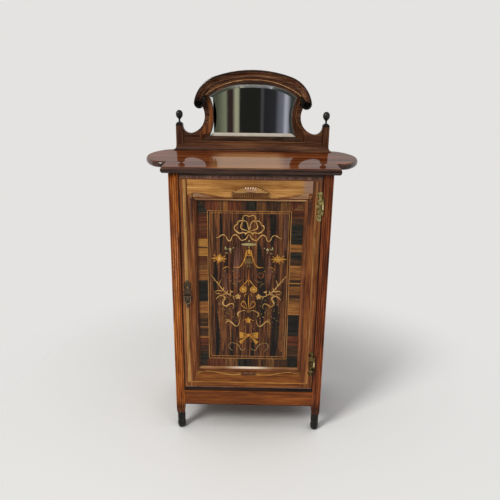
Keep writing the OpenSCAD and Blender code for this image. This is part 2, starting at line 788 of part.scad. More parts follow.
// One cross-section at angle a from upright about c, with the band w wide
function hood_ring(c, r, a, w) =
    [for (p = hood_section) let (q = r - w * p[0])
        [c[0] + q * sin(a), up_y0 - hood_out * p[1], c[1] + q * cos(a)]];

// The right half, from the crown to the end of the curl; s = -1 gives its mirror image
function hood_half(s, meet) = concat(
    [for (i = [0:hood_steps]) let (t = i / hood_steps, a = meet + (hood_end - meet) * t)
        hood_ring([s * haunch_x, haunch_c], haunch_r, s * a,
            curl_w + (hood_w - curl_w) * min(1, (1 - t) * 5))],
    [for (i = [1:curl_steps]) hood_ring([s * scroll_x, scroll_z], scroll_r,
        s * (hood_end + (curl_end - hood_end) * i / curl_steps), curl_w)]);

module hood_moulding() {
    left = hood_half(-1, hood_meet);
    crown = [for (i = [1 - crown_steps:crown_steps - 1])
        hood_ring([0, crown_z - hood_cr], hood_cr, hood_meet * i / crown_steps, hood_w)];
    color("#2c1810")
        skin(concat([for (i = [len(left) - 1:-1:0]) left[i]], crown, hood_half(1, hood_meet)));
}

function glass_ring(grow, y) = [for (p = sight_outline(grow)) [p[0], y, p[1]]];

module mirror_glass() {
    y1 = glass_y0 + glass_t;
    color("lightsteelblue") skin([glass_ring(glass_edge, y1), glass_ring(glass_edge, glass_y0 + bevel_d),
        glass_ring(0, glass_y0 + bevel_d * bevel_w / (bevel_w + glass_edge)),
        glass_ring(-bevel_w, glass_y0)]);
}

// The backboard's screws go through its edge into the ledge round the glass
ledge = (rebate_cover + backboard_cover) / 2;
screw_spots = [[side_c[0] - side_hollow_r + ledge, side_mid_z], [sight_half * 0.6, sight_bottom - ledge],
    [sight_haunch_x, sight_hc] + (sight_r + ledge) * [0.5, 0.866]];

module backboard_screws_body(grow) {
    head_h = 1.6;
    both_sides() for (p = screw_spots) translate([p[0], up_y1, p[1]]) rotate([90, 0, 0]) {
        cylinder(r1 = 3, r2 = 1.4, h = head_h, $fn = 32);
        cylinder(r = 1.4 + grow, h = backboard_t + 8, $fn = 32);
    }
}

module mirror_backboard() {
    color("burlywood") difference() {
        upright(glass_y0 + glass_t, backboard_t) polygon(sight_outline(backboard_cover));
        backboard_screws_body(glue_fit);
    }
}

module backboard_screws() {
    color("goldenrod") backboard_screws_body(0);
}

module upstand_dowels() {
    color("burlywood") for (x = dowel_xs) translate([x, dowel_y, deck_z - dowel_in])
        cylinder(r = dowel_r, h = dowel_in + base_h + dowel_up, $fn = 48);
}

// The slots that the door's rails and panel fill
module panel_slot() {
    span([-open_x - panel_groove, open_x + panel_groove], [panel_y0, panel_y0 + panel_t],
        [open_z0 - panel_groove, open_z1 + panel_groove]);
}

module door_tenons(z0, z1) {
    span([-open_x - door_tenon_l, open_x + door_tenon_l],
        [door_tenon_y, door_tenon_y + door_tenon_t], [z0, z1]);
}

foot_tenon = [door_z0 + 12, open_z0 - panel_groove];
head_tenon = [open_z1 + panel_groove, door_z1 - 12];

module stile_blank(side) {
    x = side < 0 ? [-door_x, -open_x] : [open_x, door_x];
    difference() {
        span(x, [door_y0, door_y1], [door_z0, door_z1]);
        panel_slot();
        door_tenons(foot_tenon[0], foot_tenon[1]);
        door_tenons(head_tenon[0], head_tenon[1]);
    }
}

// A keyhole through everything between two depths
module keyhole(y0, y1) {
    translate([key_x, y1, lock_z]) rotate([90, 0, 0]) linear_extrude(y1 - y0) {
        circle(key_r, $fn = 48);
        translate([-key_r * 0.42, -key_r * 2.6]) square([key_r * 0.84, key_r * 2.6]);
    }
}

module door_stile_lock() {
    color("peru") difference() {
        stile_blank(-1);
        span([case_x0 - eps, case_x0 + case_w], [case_y0, door_y1 + eps],
            [lock_z - case_h / 2, lock_z + case_h / 2]);
        keyhole(door_y0 - eps, case_y0 + eps);
        handle_posts(true);
    }
}

module door_stile_hinge() {
    color("peru") difference() {
        stile_blank(1);
        for (z = hinge_zs) hinge_screw_set(z, glue_fit);
    }
}

module door_rail(z0, z1, tenon) {
    color("peru") difference() {
        union() {
            span([-open_x, open_x], [door_y0, door_y1], [z0, z1]);
            door_tenons(tenon[0], tenon[1]);
        }
        panel_slot();
    }
}

module door_panel() {
    color("#4a2c20") panel_slot();
}

// Section of the panel moulding: distance in from the frame, height above the panel
mould_shape = [[0, 0], [0, 0.9], [0.06, 0.98], [0.18, 1], [0.29, 0.96], [0.33, 0.88], [0.38, 0.83],
    [0.54, 0.78], [0.7, 0.66], [0.83, 0.46], [0.9, 0.26], [0.93, 0.17], [1, 0.15], [1, 0]];

// One length of moulding with mitred ends, lying along X with its outer edge at z = 0
module moulding_length(length) {
    rise = panel_set + mould_out;
    difference() {
        rotate([90, 0, 90]) linear_extrude(length, center = true)
            polygon([for (p = mould_shape) [-rise * p[1], mould_w * p[0]]]);
        both_sides() translate([length / 2, 0, 0]) rotate([0, -45, 0])
            translate([0, -rise - eps, -mould_w]) cube([3 * mould_w, rise + 2 * eps, 4 * mould_w]);
    }
}

module door_moulding() {
    w = 2 * open_x;
    h = open_z1 - open_z0;
    color("#5e2a18") translate([0, panel_y0, (open_z0 + open_z1) / 2]) {
        for (a = [0, 180]) rotate([0, a, 0]) translate([0, 0, -h / 2]) moulding_length(w);
        for (a = [90, 270]) rotate([0, a, 0]) translate([0, 0, -w / 2]) moulding_length(h);
    }
}

// A low fan of petals over a plinth of upright gadroons
module door_fan() {
    plinth_z = open_z1 + plinth_up;
    fan_z = plinth_z + plinth_h + 2;
    arc_r = (fan_w * fan_w / 4 + fan_h * fan_h) / (2 * fan_h);
    petals = 9;
    gadroons = 19;
    pitch = (fan_w - 4) / gadroons;
    color("#c08a46") {
        upright(door_y0 - fan_t, fan_t) difference() {
            intersection() {
                translate([0, fan_z + fan_h - arc_r]) circle(arc_r, $fn = 240);
                translate([-fan_w / 2, fan_z]) square([fan_w, fan_h]);
            }
            for (i = [1:petals - 1]) translate([0, fan_z]) rotate(180 * i / petals - 90)
                translate([-0.5, fan_h * 0.35]) square([1, fan_w]);
        }
        span([-fan_w / 2, fan_w / 2], [door_y0 - fan_t * 0.6, door_y0],
            [plinth_z, fan_z + 1]);
        for (i = [0:gadroons - 1]) translate([(i - (gadroons - 1) / 2) * pitch, door_y0 - fan_t * 0.6,
            plinth_z + 1]) cylinder(r = pitch * 0.4, h = plinth_h - 1, $fn = 24);
    }
}

// Corner balls with reeded leaves running in and husk drops hanging below
module corner_carving() {
    bx = open_x + 0.8 * ball_r;
    bz = open_z1 + 0.86 * ball_r;
    reed_w = 3.4;
    reed_rise = 4.1;
    husks = 5;
    husk_l = (drop_l - ball_r) / husks;
    upright(door_y0 - leaf_t, leaf_t) {
        for (i = [0:3]) let (steps = 8, x0 = bx - ball_r * 0.6, x1 = bx - leaf_l * (1 - 0.13 * i),
            z0 = open_z1 + 2.3 + reed_rise * i, fall = 0.2 + 2 * i,
            line = [for (k = [0:steps]) let (t = k / steps)
                [x0 + (x1 - x0) * t, z0 - fall * t * t, reed_w / 2 * (1 - 0.85 * t * t * t)]])
            polygon(concat([for (p = line) [p[0], p[1] - p[2]]],
                [for (k = [steps:-1:0]) [line[k][0], line[k][1] + line[k][2]]]));
        for (i = [0:husks - 1]) let (w = 4.6 - 0.6 * i, z = bz - ball_r * 0.7 - i * husk_l)
            polygon([[bx - 1, z], [bx - w, z - husk_l * 0.45], [bx - 0.5, z - husk_l - 0.5],
                [bx + 0.5, z - husk_l - 0.5], [bx + w, z - husk_l * 0.45], [bx + 1, z]]);
    }
    translate([bx, door_y0, bz]) rotate([90, 0, 0]) difference() {
        sphere(ball_r, $fn = 48);
        translate([0, 0, -ball_r]) cube(2 * ball_r, center = true);
    }
}

module door_corner_carvings() {
    color("#b07c40") both_sides() corner_carving();
}

// A raised ground below the panel, whose lower edge swings up and down from a middle block
module door_scroll_carving() {
    top_z = open_z0 - 0.5;
    half = open_x - scroll_in;
    block = scroll_block_w / 2;
    function dip(t) = t < 0.22 ? 2.5 + 8.5 * (1 - t / 0.22) ^ 2 : 2.5 + 15.5 * sin(90 * (t - 0.22) / 0.6) ^ 2;
    steps = 32;
    edge = [for (i = [0:steps]) let (t = i / steps) [half - (half - block) * t, top_z - dip(t)]];
    color("#9a5e2c") {
        upright(door_y0 - leaf_t, leaf_t) both_sides()
            polygon(concat([[block - 1, top_z], [half, top_z]], edge, [[block - 1, top_z - dip(1)]]));
        upright(door_y0 - leaf_t - 1, leaf_t + 1)
            translate([-block, top_z - scroll_block_h]) square([2 * block, scroll_block_h]);
        both_sides() translate([half - 2.5, door_y0, top_z - 9]) rotate([90, 0, 0])
            cylinder(r = 4, h = leaf_t + 0.5, $fn = 32);
    }
}

// Pierced hinge plate on the door's face, with the outer two of three knuckles
module hinge_plate_2d() {
    w = hinge_plate_w;
    difference() {
        union() {
            for (z = [-0.36, 0, 0.36] * hinge_l) translate([plate_x1 - w / 2, z]) circle(w / 2);
            for (z = [-0.18, 0.18] * hinge_l) translate([plate_x1 - w * 0.4, z]) circle(w * 0.4);
            translate([plate_x1 - w * 0.45, -hinge_l / 2]) square([w * 0.45, hinge_l]);
            for (s = [-1, 1]) translate([plate_x1 - w * 0.45, s * (hinge_l / 2 - w * 0.3)])
                circle(w * 0.3);
        }
        translate([plate_x1, -hinge_l]) square([w, 2 * hinge_l]);
        for (z = [-0.36, 0, 0.36] * hinge_l, s = [-1, 1])
            translate([plate_x1 - w * 0.66, z + s * w * 0.2]) circle(w * 0.13, $fn = 32);
        for (z = [-0.36, 0, 0.36] * hinge_l) translate([plate_x1 - w * 0.28, z]) circle(w * 0.14, $fn = 32);
        for (z = screw_zs) translate([screw_x, z]) circle(screw_shank_r + glue_fit, $fn = 32);
    }
}

module knuckle(z0, z1, bore) {
    translate([axis_x, axis_y, z0]) difference() {
        children();
        translate([0, 0, -eps]) cylinder(r = bore, h = z1 - z0 + 2 * eps, $fn = 64);
    }
}

module hinge_plate(z) {
    third = knuckle_l / 3;
    color("#b9a458") {
        translate([0, 0, z]) upright(plate_y0, leaf_thick) hinge_plate_2d();
        for (z0 = [z - knuckle_l / 2, z + third / 2 + knuckle_gap])
            knuckle(z0, z0 + third - knuckle_gap, pin_r + pin_fit) {
                cylinder(r = knuckle_r, h = third - knuckle_gap);
                linear_extrude(third - knuckle_gap)
                    polygon([[plate_x1 - axis_x - 3, plate_y0 - axis_y], [-knuckle_r, 0], [0, knuckle_r],
                        [plate_x1 - axis_x + 1.6, door_y0 - axis_y - 0.1],
                        [plate_x1 - axis_x - 3, door_y0 - axis_y - 0.1]]);
            }
    }
}

// The fixed leaf lies in the post's inner face and carries the middle knuckle
module hinge_leaf(z) {
    third = knuckle_l / 3;
    color("#b9a458") {
        span([post_in, post_in + leaf_thick], [y_front, y_front + post_leaf_w],
            [z - knuckle_l / 2, z + knuckle_l / 2]);
        knuckle(z - third / 2, z + third / 2, pin_r + 0.02) {
            cylinder(r = knuckle_r, h = third);
            translate([post_in - axis_x, 0, 0]) cube([leaf_thick, y_front - axis_y, third]);
        }
    }
}

module hinge_pins() {
    cap_h = 1.6;
    color("#a08c48") for (z = hinge_zs) translate([axis_x, axis_y, z - knuckle_l / 2 - 0.2]) {
        cylinder(r = pin_r, h = knuckle_l + 0.4, $fn = 64);
        for (h = [-cap_h, knuckle_l + 0.4]) translate([0, 0, h]) cylinder(r = knuckle_r * 0.8, h = cap_h);
    }
}

module hinge_screw_set(z, grow) {
    for (s = screw_zs) translate([screw_x, plate_y0, z + s]) rotate([-90, 0, 0])
        cylinder(r = screw_shank_r + grow, h = screw_l, $fn = 32);
}

module hinge_screws() {
    head_h = 0.9;
    color("#c8b468") for (z = hinge_zs) {
        hinge_screw_set(z, 0);
        for (s = screw_zs) translate([screw_x, plate_y0, z + s]) rotate([90, 0, 0])
            cylinder(r = screw_head_r, h = head_h, $fn = 32);
    }
}

// A cut lock let into the back of the stile: a box that the bolt slides out of
module lock_case() {
    color("#8a7a48") difference() {
        span([case_x0, case_x0 + case_w], [case_y0, door_y1], [lock_z - case_h / 2, lock_z + case_h / 2]);
        span([case_x0 - eps, case_x0 + case_w - case_wall], [case_y0 + case_wall, door_y1 - case_wall],
            [bolt_z - bolt_fit, bolt_z + bolt_h + bolt_fit]);
        keyhole(case_y0 - eps, case_y0 + case_wall + eps);
    }
}

module lock_bolt() {
    x0 = case_x0 + 0.3;
    talon_w = 6;
    color("#a39a80") difference() {
        span([x0, x0 + bolt_l], [bolt_y0, bolt_y1], [bolt_z, bolt_z + bolt_h]);
        translate([key_x - talon_w / 2, bolt_y0 - eps, bolt_z - eps])
            cube([talon_w, bolt_y1 - bolt_y0 + 2 * eps, bolt_h * 0.45 + eps]);
    }
}

module strike_plate_body() {
    mid = (bolt_y0 + bolt_y1) / 2;
    span([-post_in - strike_t, -post_in], [mid - strike_w / 2, mid + strike_w / 2],
        [lock_z - strike_h / 2, lock_z + strike_h / 2]);
}

// The slot that the bolt shoots into, cut to a depth behind the plate's face
module strike_slot(depth) {
    span([-post_in - depth, -post_in + eps], [bolt_y0 - strike_play, bolt_y1 + strike_play],
        [bolt_z - strike_play, bolt_z + bolt_h + strike_play]);
}

module strike_plate() {
    color("#b9a458") difference() {
        strike_plate_body();
        strike_slot(strike_t + eps);
    }
}

// Two posts that hold the bail's pivot rod, riveted through the plate into the stile
module handle_posts(hole) {
    rivet_r = 1.6;
    for (s = [-1, 1]) translate([key_x + s * post_half, door_y0, pivot_z]) {
        if (!hole) rotate([90, 0, 0]) cylinder(r = handle_post_r, h = esc_t + pivot_out + handle_post_r);
        rotate([-90, 0, 0]) cylinder(r = rivet_r + (hole ? glue_fit : 0), h = 6, $fn = 32);
    }
}

module escutcheon_2d() {
    top = esc_h * 0.25;
    low = -esc_h * 0.57;
    difference() {
        union() {
            circle(13);
            translate([0, top - 6]) circle(6);
            translate([-10, low + 18]) square([20, -low - 18]);
            for (s = [-1, 1]) {
                translate([s * 6, 12]) circle(7);
                translate([s * 8, low + 26]) circle(7);
                translate([s * 6.5, low + 14]) circle(6.5);
                translate([s * 11, -18]) circle(4);
            }
            translate([0, 5 - esc_h * 0.75]) circle(5);
            translate([-4, 5 - esc_h * 0.75]) square([8, 30]);
        }
        for (s = [-1, 1]) {
            translate([s * 7.5, 8]) circle(2.4);
            translate([s * 8, -7]) circle(2);
            translate([s * 5, 17]) circle(1.6);
            translate([s * 6, -19]) circle(2.2);
            translate([s * 9.5, low + 27]) circle(2.6);
            translate([s * 6.5, low + 13]) circle(2.4);
        }
        translate([0, low + 19]) circle(2.6);
    }
}

module escutcheon() {
    color("#6a5a38") difference() {
        union() {
            translate([key_x, 0, lock_z]) upright(esc_y0, esc_t) escutcheon_2d();
            handle_posts(false);
        }
        keyhole(esc_y0 - eps, door_y0 + eps);
        translate([key_x, rod_y, pivot_z]) rotate([0, 90, 0])
            cylinder(r = rod_r + rod_fit, h = 4 * bail_half, center = true, $fn = 48);
    }
}

// The bail: a rod through the posts, two arms, and a round grip with a drop
module drop_handle() {
    color("#a8925a") translate([key_x, rod_y, pivot_z]) {
        rotate([0, 90, 0]) cylinder(r = rod_r, h = 2 * bail_half, center = true, $fn = 48);
        for (s = [-1, 1]) translate([s * bail_half, 0, 0]) {
            sphere(bail_r + 0.5, $fn = 48);
            translate([0, 0, -bail_arm]) cylinder(r = bail_r, h = bail_arm, $fn = 48);
        }
        translate([0, 0, -bail_arm]) rotate([90, 0, 0]) rotate_extrude(angle = -180)
            translate([bail_half, 0]) circle(bail_r, $fn = 48);
        translate([0, 0, -bail_arm - bail_half - bail_r]) sphere(bail_r * 1.5, $fn = 48);
    }
}

front_post(-1);  // front_post_left
front_post(1);  // front_post_right
rear_post(-1);  // rear_post_left
rear_post(1);  // rear_post_right
foot(-1, y_front + post_s / 2);  // foot_front_left
foot(1, y_front + post_s / 2);  // foot_front_right
foot(-1, y_back - post_s / 2);  // foot_rear_left
foot(1, y_back - post_s / 2);  // foot_rear_right
front_bottom_rail();
bottom_bead();
front_top_rail();
rear_rail(carcase_h - rail_h);  // rear_top_rail
rear_rail(rail_z);  // rear_bottom_rail
side_rail(-1, carcase_h - rail_h);  // side_top_rail_left
side_rail(1, carcase_h - rail_h);  // side_top_rail_right
side_rail(-1, rail_z);  // side_bottom_rail_left
side_rail(1, rail_z);  // side_bottom_rail_right
side_panel(-1);  // side_panel_left
side_panel(1);  // side_panel_right
back_panel();
bottom_board();
shelf(1);  // shelf_1
shelf(2);  // shelf_2
shelf(3);  // shelf_3
shelf(4);  // shelf_4
shelf(5);  // shelf_5
shelf_bearers();
glue_blocks();
top_board();
upstand_plinth();
upstand_board();
upstand_post(-1);  // upstand_post_left
upstand_post(1);  // upstand_post_right
finial(-1);  // finial_left
finial(1);  // finial_right
hood_moulding();
mirror_glass();
mirror_backboard();
backboard_screws();
upstand_dowels();
door_stile_lock();
door_stile_hinge();
door_rail(open_z1, door_z1, head_tenon);  // door_rail_top
door_rail(door_z0, open_z0, foot_tenon);  // door_rail_bottom
door_panel();
door_moulding();
door_fan();
door_corner_carvings();
door_scroll_carving();
hinge_plate(hinge_zs[1]);  // hinge_plate_upper
hinge_plate(hinge_zs[0]);  // hinge_plate_lower
hinge_leaf(hinge_zs[1]);  // hinge_leaf_upper
hinge_leaf(hinge_zs[0]);  // hinge_leaf_lower
hinge_pins();
hinge_screws();
lock_case();
lock_bolt();
strike_plate();
escutcheon();
drop_handle();
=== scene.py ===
from math import cos, pi, radians, sin, sqrt

import bmesh
import bpy
from mathutils import Matrix, Vector


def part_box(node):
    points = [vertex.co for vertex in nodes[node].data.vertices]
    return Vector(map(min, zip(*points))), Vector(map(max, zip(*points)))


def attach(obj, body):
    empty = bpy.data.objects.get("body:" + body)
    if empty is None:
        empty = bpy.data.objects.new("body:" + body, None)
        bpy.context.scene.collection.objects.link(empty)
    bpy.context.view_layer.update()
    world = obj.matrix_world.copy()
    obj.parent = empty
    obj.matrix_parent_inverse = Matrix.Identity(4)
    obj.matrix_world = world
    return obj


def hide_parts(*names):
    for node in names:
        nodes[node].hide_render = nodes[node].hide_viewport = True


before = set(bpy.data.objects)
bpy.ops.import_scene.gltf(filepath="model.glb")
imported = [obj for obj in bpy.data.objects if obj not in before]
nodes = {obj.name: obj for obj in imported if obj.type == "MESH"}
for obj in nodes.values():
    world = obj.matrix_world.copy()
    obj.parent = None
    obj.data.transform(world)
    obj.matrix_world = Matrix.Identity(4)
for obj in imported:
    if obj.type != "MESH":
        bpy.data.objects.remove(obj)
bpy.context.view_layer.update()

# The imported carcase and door: every piece of the cabinet hangs on this frame, in metres. The
# sizes below are in millimetres, as a maker would mark them.
MM = 0.001

# Turned feet: beech, ebonised with a black stain and polished, each with three bead rings.
# A pin above every foot is glued into its post.


def tone(code):
    """A wood or metal tone, written as on a colour card, as linear light."""
    parts = [int(code[i:i + 2], 16) / 255 for i in (0, 2, 4)]
    return [c / 12.92 if c <= 0.04045 else ((c + 0.055) / 1.055) ** 2.4 for c in parts] + [1.0]


def feed(tree, node, links):
    """Feeds a step's sockets: links holds each socket with a number, a colour or another step's result."""
    for socket, source in links:
        if isinstance(source, bpy.types.NodeSocket):
            tree.links.new(source, node.inputs[socket])
        else:
            node.inputs[socket].default_value = source


def add(tree, kind, links=(), **settings):
    """Adds a step to a finish."""
    node = tree.nodes.new("ShaderNode" + kind)
    for key, value in settings.items():
        setattr(node, key, value)
    feed(tree, node, links)
    return node


def worked_out(tree, operation, *values, **settings):
    """A sum, product or the like of these values."""
    return add(tree, "Math", enumerate(values), operation=operation, **settings).outputs[0]


def ranged(tree, value, low, high, start=0.0, end=1.0, kind="LINEAR"):
    """Turns low to high into start to end, and holds at both ends."""
    limits = [("Value", value), ("From Min", low), ("From Max", high), ("To Min", start), ("To Max", end)]
    return add(tree, "MapRange", limits, interpolation_type=kind).outputs[0]


def toned(tree, value, stops):
    """Turns a value into a colour: stops holds (value, colour) from low to high."""
    ramp = add(tree, "ValToRGB", [("Fac", value)])
    elements = ramp.color_ramp.elements
    for index, (at, colour) in enumerate(stops):
        stop = elements[index] if index < 2 else elements.new(at)
        stop.position, stop.color = at, colour
    return ramp.outputs["Color"]


def mixed(tree, share, first, second):
    """Blends two colours."""
    links = [("Factor", share), ("A", first), ("B", second)]
    return add(tree, "Mix", data_type="RGBA", links=links).outputs["Result"]


def bare_finish(name):
    """A new finish, its steps and its shader."""
    material = bpy.data.materials.new(name)
    material.use_nodes = True
    return material, material.node_tree, material.node_tree.nodes["Principled BSDF"]


def timber(name, tones, grain, wide=20, gloss=0.34, coat=0.1, seed=0.0, veins=0.3, hollow_shade=0.0, shine=0.1):
    """Polished wood: tones run from the darkest streak to the palest, streaks are so wide in mm, and
    hollow_shade paints shade into the hollows.
    """
    material, tree, shader = bare_finish(name)
    place = add(tree, "TexCoord").outputs["Object"]

    def grained(across, along, detail, bend, shift):
        """Noise in streaks this far apart across and along the grain, in mm."""
        scale = [1 / ((along if axis == grain else across) * MM) for axis in "XYZ"]
        stretch = add(tree, "Mapping", [("Vector", place), ("Scale", scale),
                                        ("Location", (seed + shift, seed * 1.7, seed * 0.6))])
        return add(tree, "TexNoise", [("Vector", stretch.outputs[0]), ("Scale", 1.0), ("Detail", detail),
                                      ("Roughness", 0.62), ("Distortion", bend)]).outputs["Fac"]

    broad = grained(wide, wide * 14, 3.0, 0.6, 0.0)
    fine = grained(wide / 5, wide * 6, 3.0, 0.25, 3.1)
    both = add(tree, "Mix", [("Factor", 0.42), ("A", broad), ("B", fine)]).outputs["Result"]
    codes = tones.split()
    darkest, spread = 0.37, 0.26 / (len(codes) - 1)
    colour = toned(tree, both, [(darkest + spread * i, tone(code)) for i, code in enumerate(codes)])
    pore = ranged(tree, grained(1.1, 38, 1.0, 0.0, 1.9), 0.3, 0.44, 0.65, 1.0)
    shades = [ranged(tree, grained(150, 330, 1.0, 0.8, 7.7), 0.3, 0.7, 0.82, 1.18), pore]
    # Painted shade: the colour darkens by hollow_shade where the surface is hemmed in, as shade falls in
    # hollows.
    if hollow_shade:
        nook = add(tree, "AmbientOcclusion", [("Distance", 0.005)], samples=8).outputs["AO"]
        shades.append(ranged(tree, nook, 0.35, 0.95, 1.0 - hollow_shade, 1.0))
    dim = ranged(tree, grained(wide / 2.6, wide * 18, 2.0, 0.4, 5.3), 0.54, 0.6, 1.0, 1.0 - veins)
    for shade in shades:
        dim = worked_out(tree, "MULTIPLY", dim, shade)
    tinted = add(tree, "MixRGB", [("Fac", 1.0), ("Color1", colour), ("Color2", dim)], blend_type="MULTIPLY")
    relief = add(tree, "Bump", [("Height", pore), ("Strength", 0.12), ("Distance", 0.0002)])
    feed(tree, shader, [("Base Color", tinted.outputs[0]), ("Normal", relief.outputs["Normal"]),
                        ("Roughness", ranged(tree, fine, 0.3, 0.7, gloss - 0.06, gloss + 0.1)),
                        ("Specular IOR Level", shine), ("Coat Weight", coat), ("Coat Roughness", 0.1)])
    return material


def finish(material, *names, eased=0.0):
    """Gives CAD nodes their finish, their sharp edges eased by so many mm, as sandpaper does."""
    for name in names:
        node = nodes[name]
        node.data.materials.clear()
        node.data.materials.append(material)
        if eased:
            node.modifiers.new("weld", "WELD").merge_threshold = 1e-6
            bevel = node.modifiers.new("eased_edges", "BEVEL")
            bevel.width, bevel.segments, bevel.angle_limit = eased * MM, 2, radians(35)


# The ebonised wood holds painted shade in its hollows, between the feet's rings and the caps' steps.
ebony_tones = "0f0e0c 1b1815 29251f"
ebony_wood = timber("ebonised_wood", ebony_tones, "Z", wide=12, gloss=0.3, coat=0.2, hollow_shade=0.7)


def placed(name, data):
    """Stands an object in the scene."""
    thing = bpy.data.objects.new(name, data)
    bpy.context.scene.collection.objects.link(thing)
    return thing


def tube(rings, closed=False):
    """Points and faces of rings of points joined in turn, with shut ends unless the last meets the first."""
    size, count = len(rings[0]), len(rings)
    faces = [] if closed else [tuple(range(size))[::-1], tuple((count - 1) * size + k for k in range(size))]
    for i in range(count if closed else count - 1):
        a, b = i * size, (i + 1) % count * size
        faces += [(a + k, a + (k + 1) % size, b + (k + 1) % size, b + k) for k in range(size)]
    return [point for ring in rings for point in ring], faces


def made(name, parts, material, body):
    """One piece from (points, faces) parts, all closed, riding on a body."""
    mesh = bmesh.new()
    for points, faces in parts:
        corners = [mesh.verts.new(p) for p in points]
        for face in faces:
            mesh.faces.new([corners[i] for i in face])
    bmesh.ops.recalc_face_normals(mesh, faces=mesh.faces[:])
    data = bpy.data.meshes.new(name)
    mesh.to_mesh(data)
    mesh.free()
    data.materials.append(material)
    piece = placed(name, data)
    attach(piece, body)
    return piece


def turned(node, foot_z, profile, wood, sides=48):
    """A turned piece that stands for a CAD node: profile holds (height above foot_z, radius) in mm."""
    low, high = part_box(node)
    x, y = (low.x + high.x) / 2, (low.y + high.y) / 2
    piece = made("turned_" + node, [tube([
        [(x + r * MM * cos(2 * pi * k / sides), y + r * MM * sin(2 * pi * k / sides), (foot_z + h) * MM)
         for k in range(sides)] for h, r in profile])], wood, "carcase")
    for face in piece.data.polygons:
        face.use_smooth = len(face.vertices) == 4
    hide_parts(node)


foot_profile = [
    (0, 8.5), (1.5, 11.5), (5, 13.6), (11, 14.9), (17, 15.3), (23, 15), (28, 14), (31, 12.8), (32.5, 12.6),
    (34, 13.8), (37, 14.9), (40, 14.4), (42, 12.9), (43, 12.8), (44.5, 14), (47.5, 14.9), (50.5, 14.4),
    (52.5, 12.9), (53.5, 12.8), (55, 13.9), (57.5, 14.7), (60, 14.2), (62, 13.1), (63, 13.1), (64.5, 14.3),
    (69, 14.3), (69.1, 8), (94, 8)]
for place in ("front_left", "front_right", "rear_left", "rear_right"):
    turned("foot_" + place, 0, foot_profile, ebony_wood)

# Posts: 31 mm rosewood, with three reeds in a sunk band on the front ones and a short taper
# above the foot. The left ones are painted paler and more orange, as on the lit side, and all are dark near
# the feet.


def tone_patch(material, pale, spans, strength):
    """Blends a wood towards another tone in a patch with soft limits, used for painted light and for darker
    parts: spans holds (axis, from, full, end, clear) in mm.
    """
    tree = material.node_tree
    colour = tree.nodes["Principled BSDF"].inputs["Base Color"]
    place = add(tree, "SeparateXYZ", [(0, add(tree, "TexCoord").outputs["Object"])]).outputs
    blend = strength
    for axis, start, full, end, clear in spans:
        for low, high, before, after in ((start, full, 0.0, 1.0), (end, clear, 1.0, 0.0)):
            part = ranged(tree, place[axis], low * MM, high * MM, before, after, "SMOOTHSTEP")
            blend = worked_out(tree, "MULTIPLY", part, blend)
    mix = [("Fac", blend), ("Color1", colour.links[0].from_socket), ("Color2", tone(pale))]
    tree.links.new(add(tree, "MixRGB", mix).outputs[0], colour)


for side, tones, seed in (("left", "56260e 84431a a45a22 be7834", 1.3),
                          ("right", "3a190c 5e2b12 7a3c1b 92512a", 4.1)):
    post_wood = timber("post_wood_" + side, tones, "Z", wide=11, seed=seed, veins=0.15, hollow_shade=0.7)
    tone_patch(post_wood, "2c1610", [("Z", -60, -50, 92, 128)], 0.75)
    finish(post_wood, "front_post_" + side, "rear_post_" + side, eased=0.6)

# Carcase rails and side panels: rosewood rails tenoned into the posts, with plain panels held
# in grooves. The front bottom rail shows its grain running across.
rail_tones = "4c240b 6d3713 804317 955622"
rail_wood = timber("rail_wood", rail_tones, "X", wide=14, seed=2.2, veins=0.2)
side_rail_wood = timber("side_rail_wood", rail_tones, "Y", wide=14, seed=6.4)
side_wood = timber("side_panel_wood", "34190d 5c3018 7a4523 966038", "Z", wide=34, seed=8.8)
finish(rail_wood, "front_bottom_rail", eased=0.5)
for side in ("left", "right"):
    finish(side_rail_wood, "side_top_rail_" + side, "side_bottom_rail_" + side, eased=0.5)
    finish(side_wood, "side_panel_" + side)

# Ebonised bead under the door: a half-round nose on a strip that lies on the bottom rail, whose
# own lower edge carries a thin dark line.
bead_wood = timber("ebonised_bead", "120906 26150d 362015", "X", wide=12, gloss=0.24, coat=0.1, seed=3.3)
finish(bead_wood, "bottom_bead")


def veneer(corners, y, rise):
    """A flat piece of veneer with these corners, in mm."""
    return tube([[(x * MM, y - h * MM, z * MM) for x, z in corners] for h in (-0.15, rise)])


def oblong(left, right, low, high, y, rise):
    """A straight strip of veneer, in mm."""
    return veneer([(left, low), (right, low), (right, high), (left, high)], y, rise)


arris_wood = timber("dark_arris_wood", "22110a 3a1f12 50301c", "X", wide=8, seed=8.1)
rail_low, arris_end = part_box("front_bottom_rail")[0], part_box("front_post_right")[0].x / MM - 0.3
arris_z = rail_low.z / MM
made("bottom_rail_arris", [oblong(-arris_end, arris_end, arris_z + 0.6, arris_z + 4, rail_low.y, 0.2)],
     arris_wood, "carcase")

# Inside and back: plain, oiled secondary wood for the boards that aren't seen with the door
# shut. The shelves lie loose on bearers, and the back is pinned into its rebates.
plain_tones = "6a4424 86592f 9c6f40 b0875a"
shelf_wood = timber("shelf_wood", plain_tones, "X", wide=26, gloss=0.5, coat=0.0, seed=5.0, veins=0.15)
back_wood = timber("back_wood", plain_tones, "Z", wide=36, gloss=0.6, coat=0.0, seed=9.1, veins=0.15)
block_wood = timber("block_wood", plain_tones, "Y", wide=20, gloss=0.6, coat=0.0, seed=0.7, veins=0.1)
finish(shelf_wood, "bottom_board", "front_top_rail", "rear_top_rail", "rear_bottom_rail")
finish(shelf_wood, "shelf_1", "shelf_2", "shelf_3", "shelf_4", "shelf_5", eased=0.8)
finish(back_wood, "back_panel", "mirror_backboard")
finish(block_wood, "shelf_bearers", "glue_blocks", "upstand_dowels")

